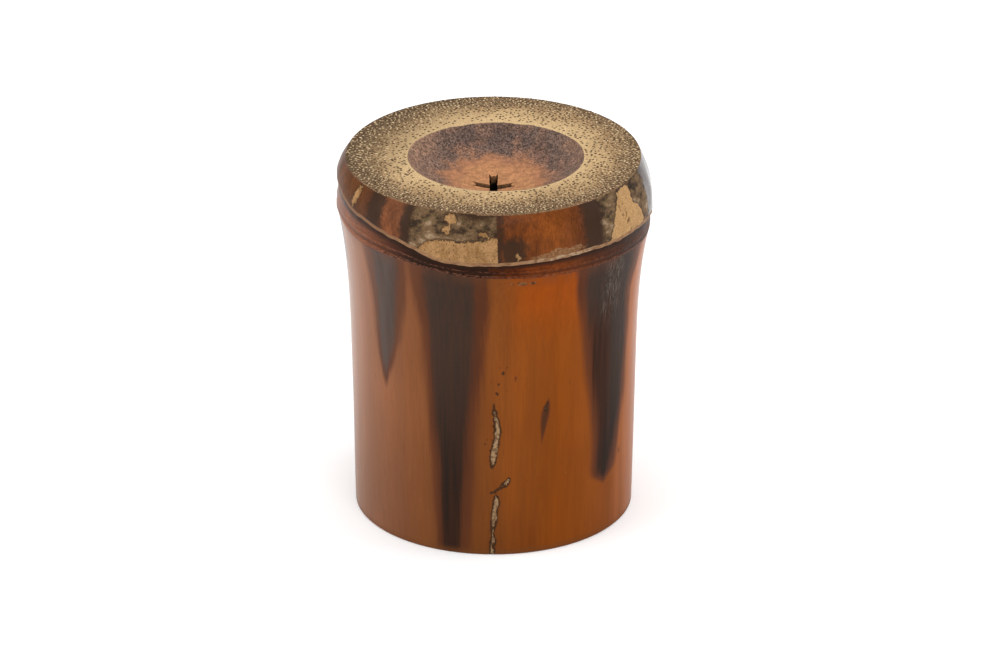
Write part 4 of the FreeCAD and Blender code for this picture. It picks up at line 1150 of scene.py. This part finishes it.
finishes = {
    "base_plug": turnedWood(), "plug_band": corkMaterial(), "neck_gasket": rubberMaterial(),
    "tinplate": metalMaterial("tinplate", (0.68, 0.68, 0.66), (0.5, 0.5, 0.49), (0.17, 0.12, 0.08), 0.22, (0.5, 0.5, 6.0), 0.08),
    "brass": metalMaterial("brass", (0.78, 0.56, 0.24), (0.55, 0.37, 0.15), (0.12, 0.08, 0.05), 0.2, (0.4, 0.4, 7.0), 0.3),
    "wire": metalMaterial("brassWire", (0.72, 0.5, 0.22), (0.5, 0.33, 0.14), (0.1, 0.075, 0.05), 0.26, (2.0, 2.0, 2.0), 0.6),
}
dressed = {
    "base_plug": "base_plug", "plug_band": "plug_band", "neck_gasket": "neck_gasket", "ring_staple": "wire", "pull_ring": "wire",
    "can_saucer": "tinplate", "can_shell": "tinplate", "can_lid": "tinplate", "saucer_screw": "brass", "can_neck": "brass",
    "wick_plate": "brass", "wick_tube": "brass", "ring_nut": "brass",
}
for name, finish in dressed.items():
    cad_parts[name].data.materials.clear()
    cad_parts[name].data.materials.append(finishes[finish])
print("fittings dressed")


# room

room = {
    "floorSize": 6000.0, "floor": (0.93, 0.93, 0.93), "floorGlow": 0.13, "sky": (1.0, 1.0, 1.0), "skyStrength": 0.68,
    "lights": [  # name, place, size, watts
        ("leftSoftbox", (-900, -350, 500), 900, 5.0),
        ("frontFill", (350, -1200, 1100), 700, 5.0),
        ("rightStrip", (900, 100, 450), 700, 3.4),
        ("overhead", (0, 100, 1300), 900, 5.0),
    ],
}


def makeRoom(r):
    half = r["floorSize"] / 2 * mm
    mesh = bpy.data.meshes.new("floor")
    mesh.from_pydata([(-half, -half, 0), (half, -half, 0), (half, half, 0), (-half, half, 0)], [], [(0, 1, 2, 3)])
    floor = newObject("floor", mesh)
    material, tree, shader = newMaterial("paleFloor", Roughness=0.9, Specular_IOR_Level=0.0)
    shader.inputs["Base Color"].default_value = (*r["floor"], 1)
    shader.inputs["Emission Color"].default_value = (1, 1, 1, 1)
    shader.inputs["Emission Strength"].default_value = r["floorGlow"]
    mesh.materials.append(material)
    world = bpy.data.worlds.new("studio")
    bpy.context.scene.world = world
    world.use_nodes = True
    sky = world.node_tree.nodes["Background"]
    sky.inputs["Color"].default_value = (*r["sky"], 1)
    sky.inputs["Strength"].default_value = r["skyStrength"]
    for name, place, size, watts in r["lights"]:
        light = bpy.data.lights.new(name, "AREA")
        light.energy, light.size = watts, size * mm
        lamp = newObject(name, light)
        lamp.location = [v * mm for v in place]
        away = lamp.location.copy()
        away.z -= 50 * mm
        lamp.rotation_euler = away.to_track_quat("Z", "Y").to_euler()


makeRoom(room)
bpy.context.scene.view_settings.view_transform = "Standard"
print("room lit")
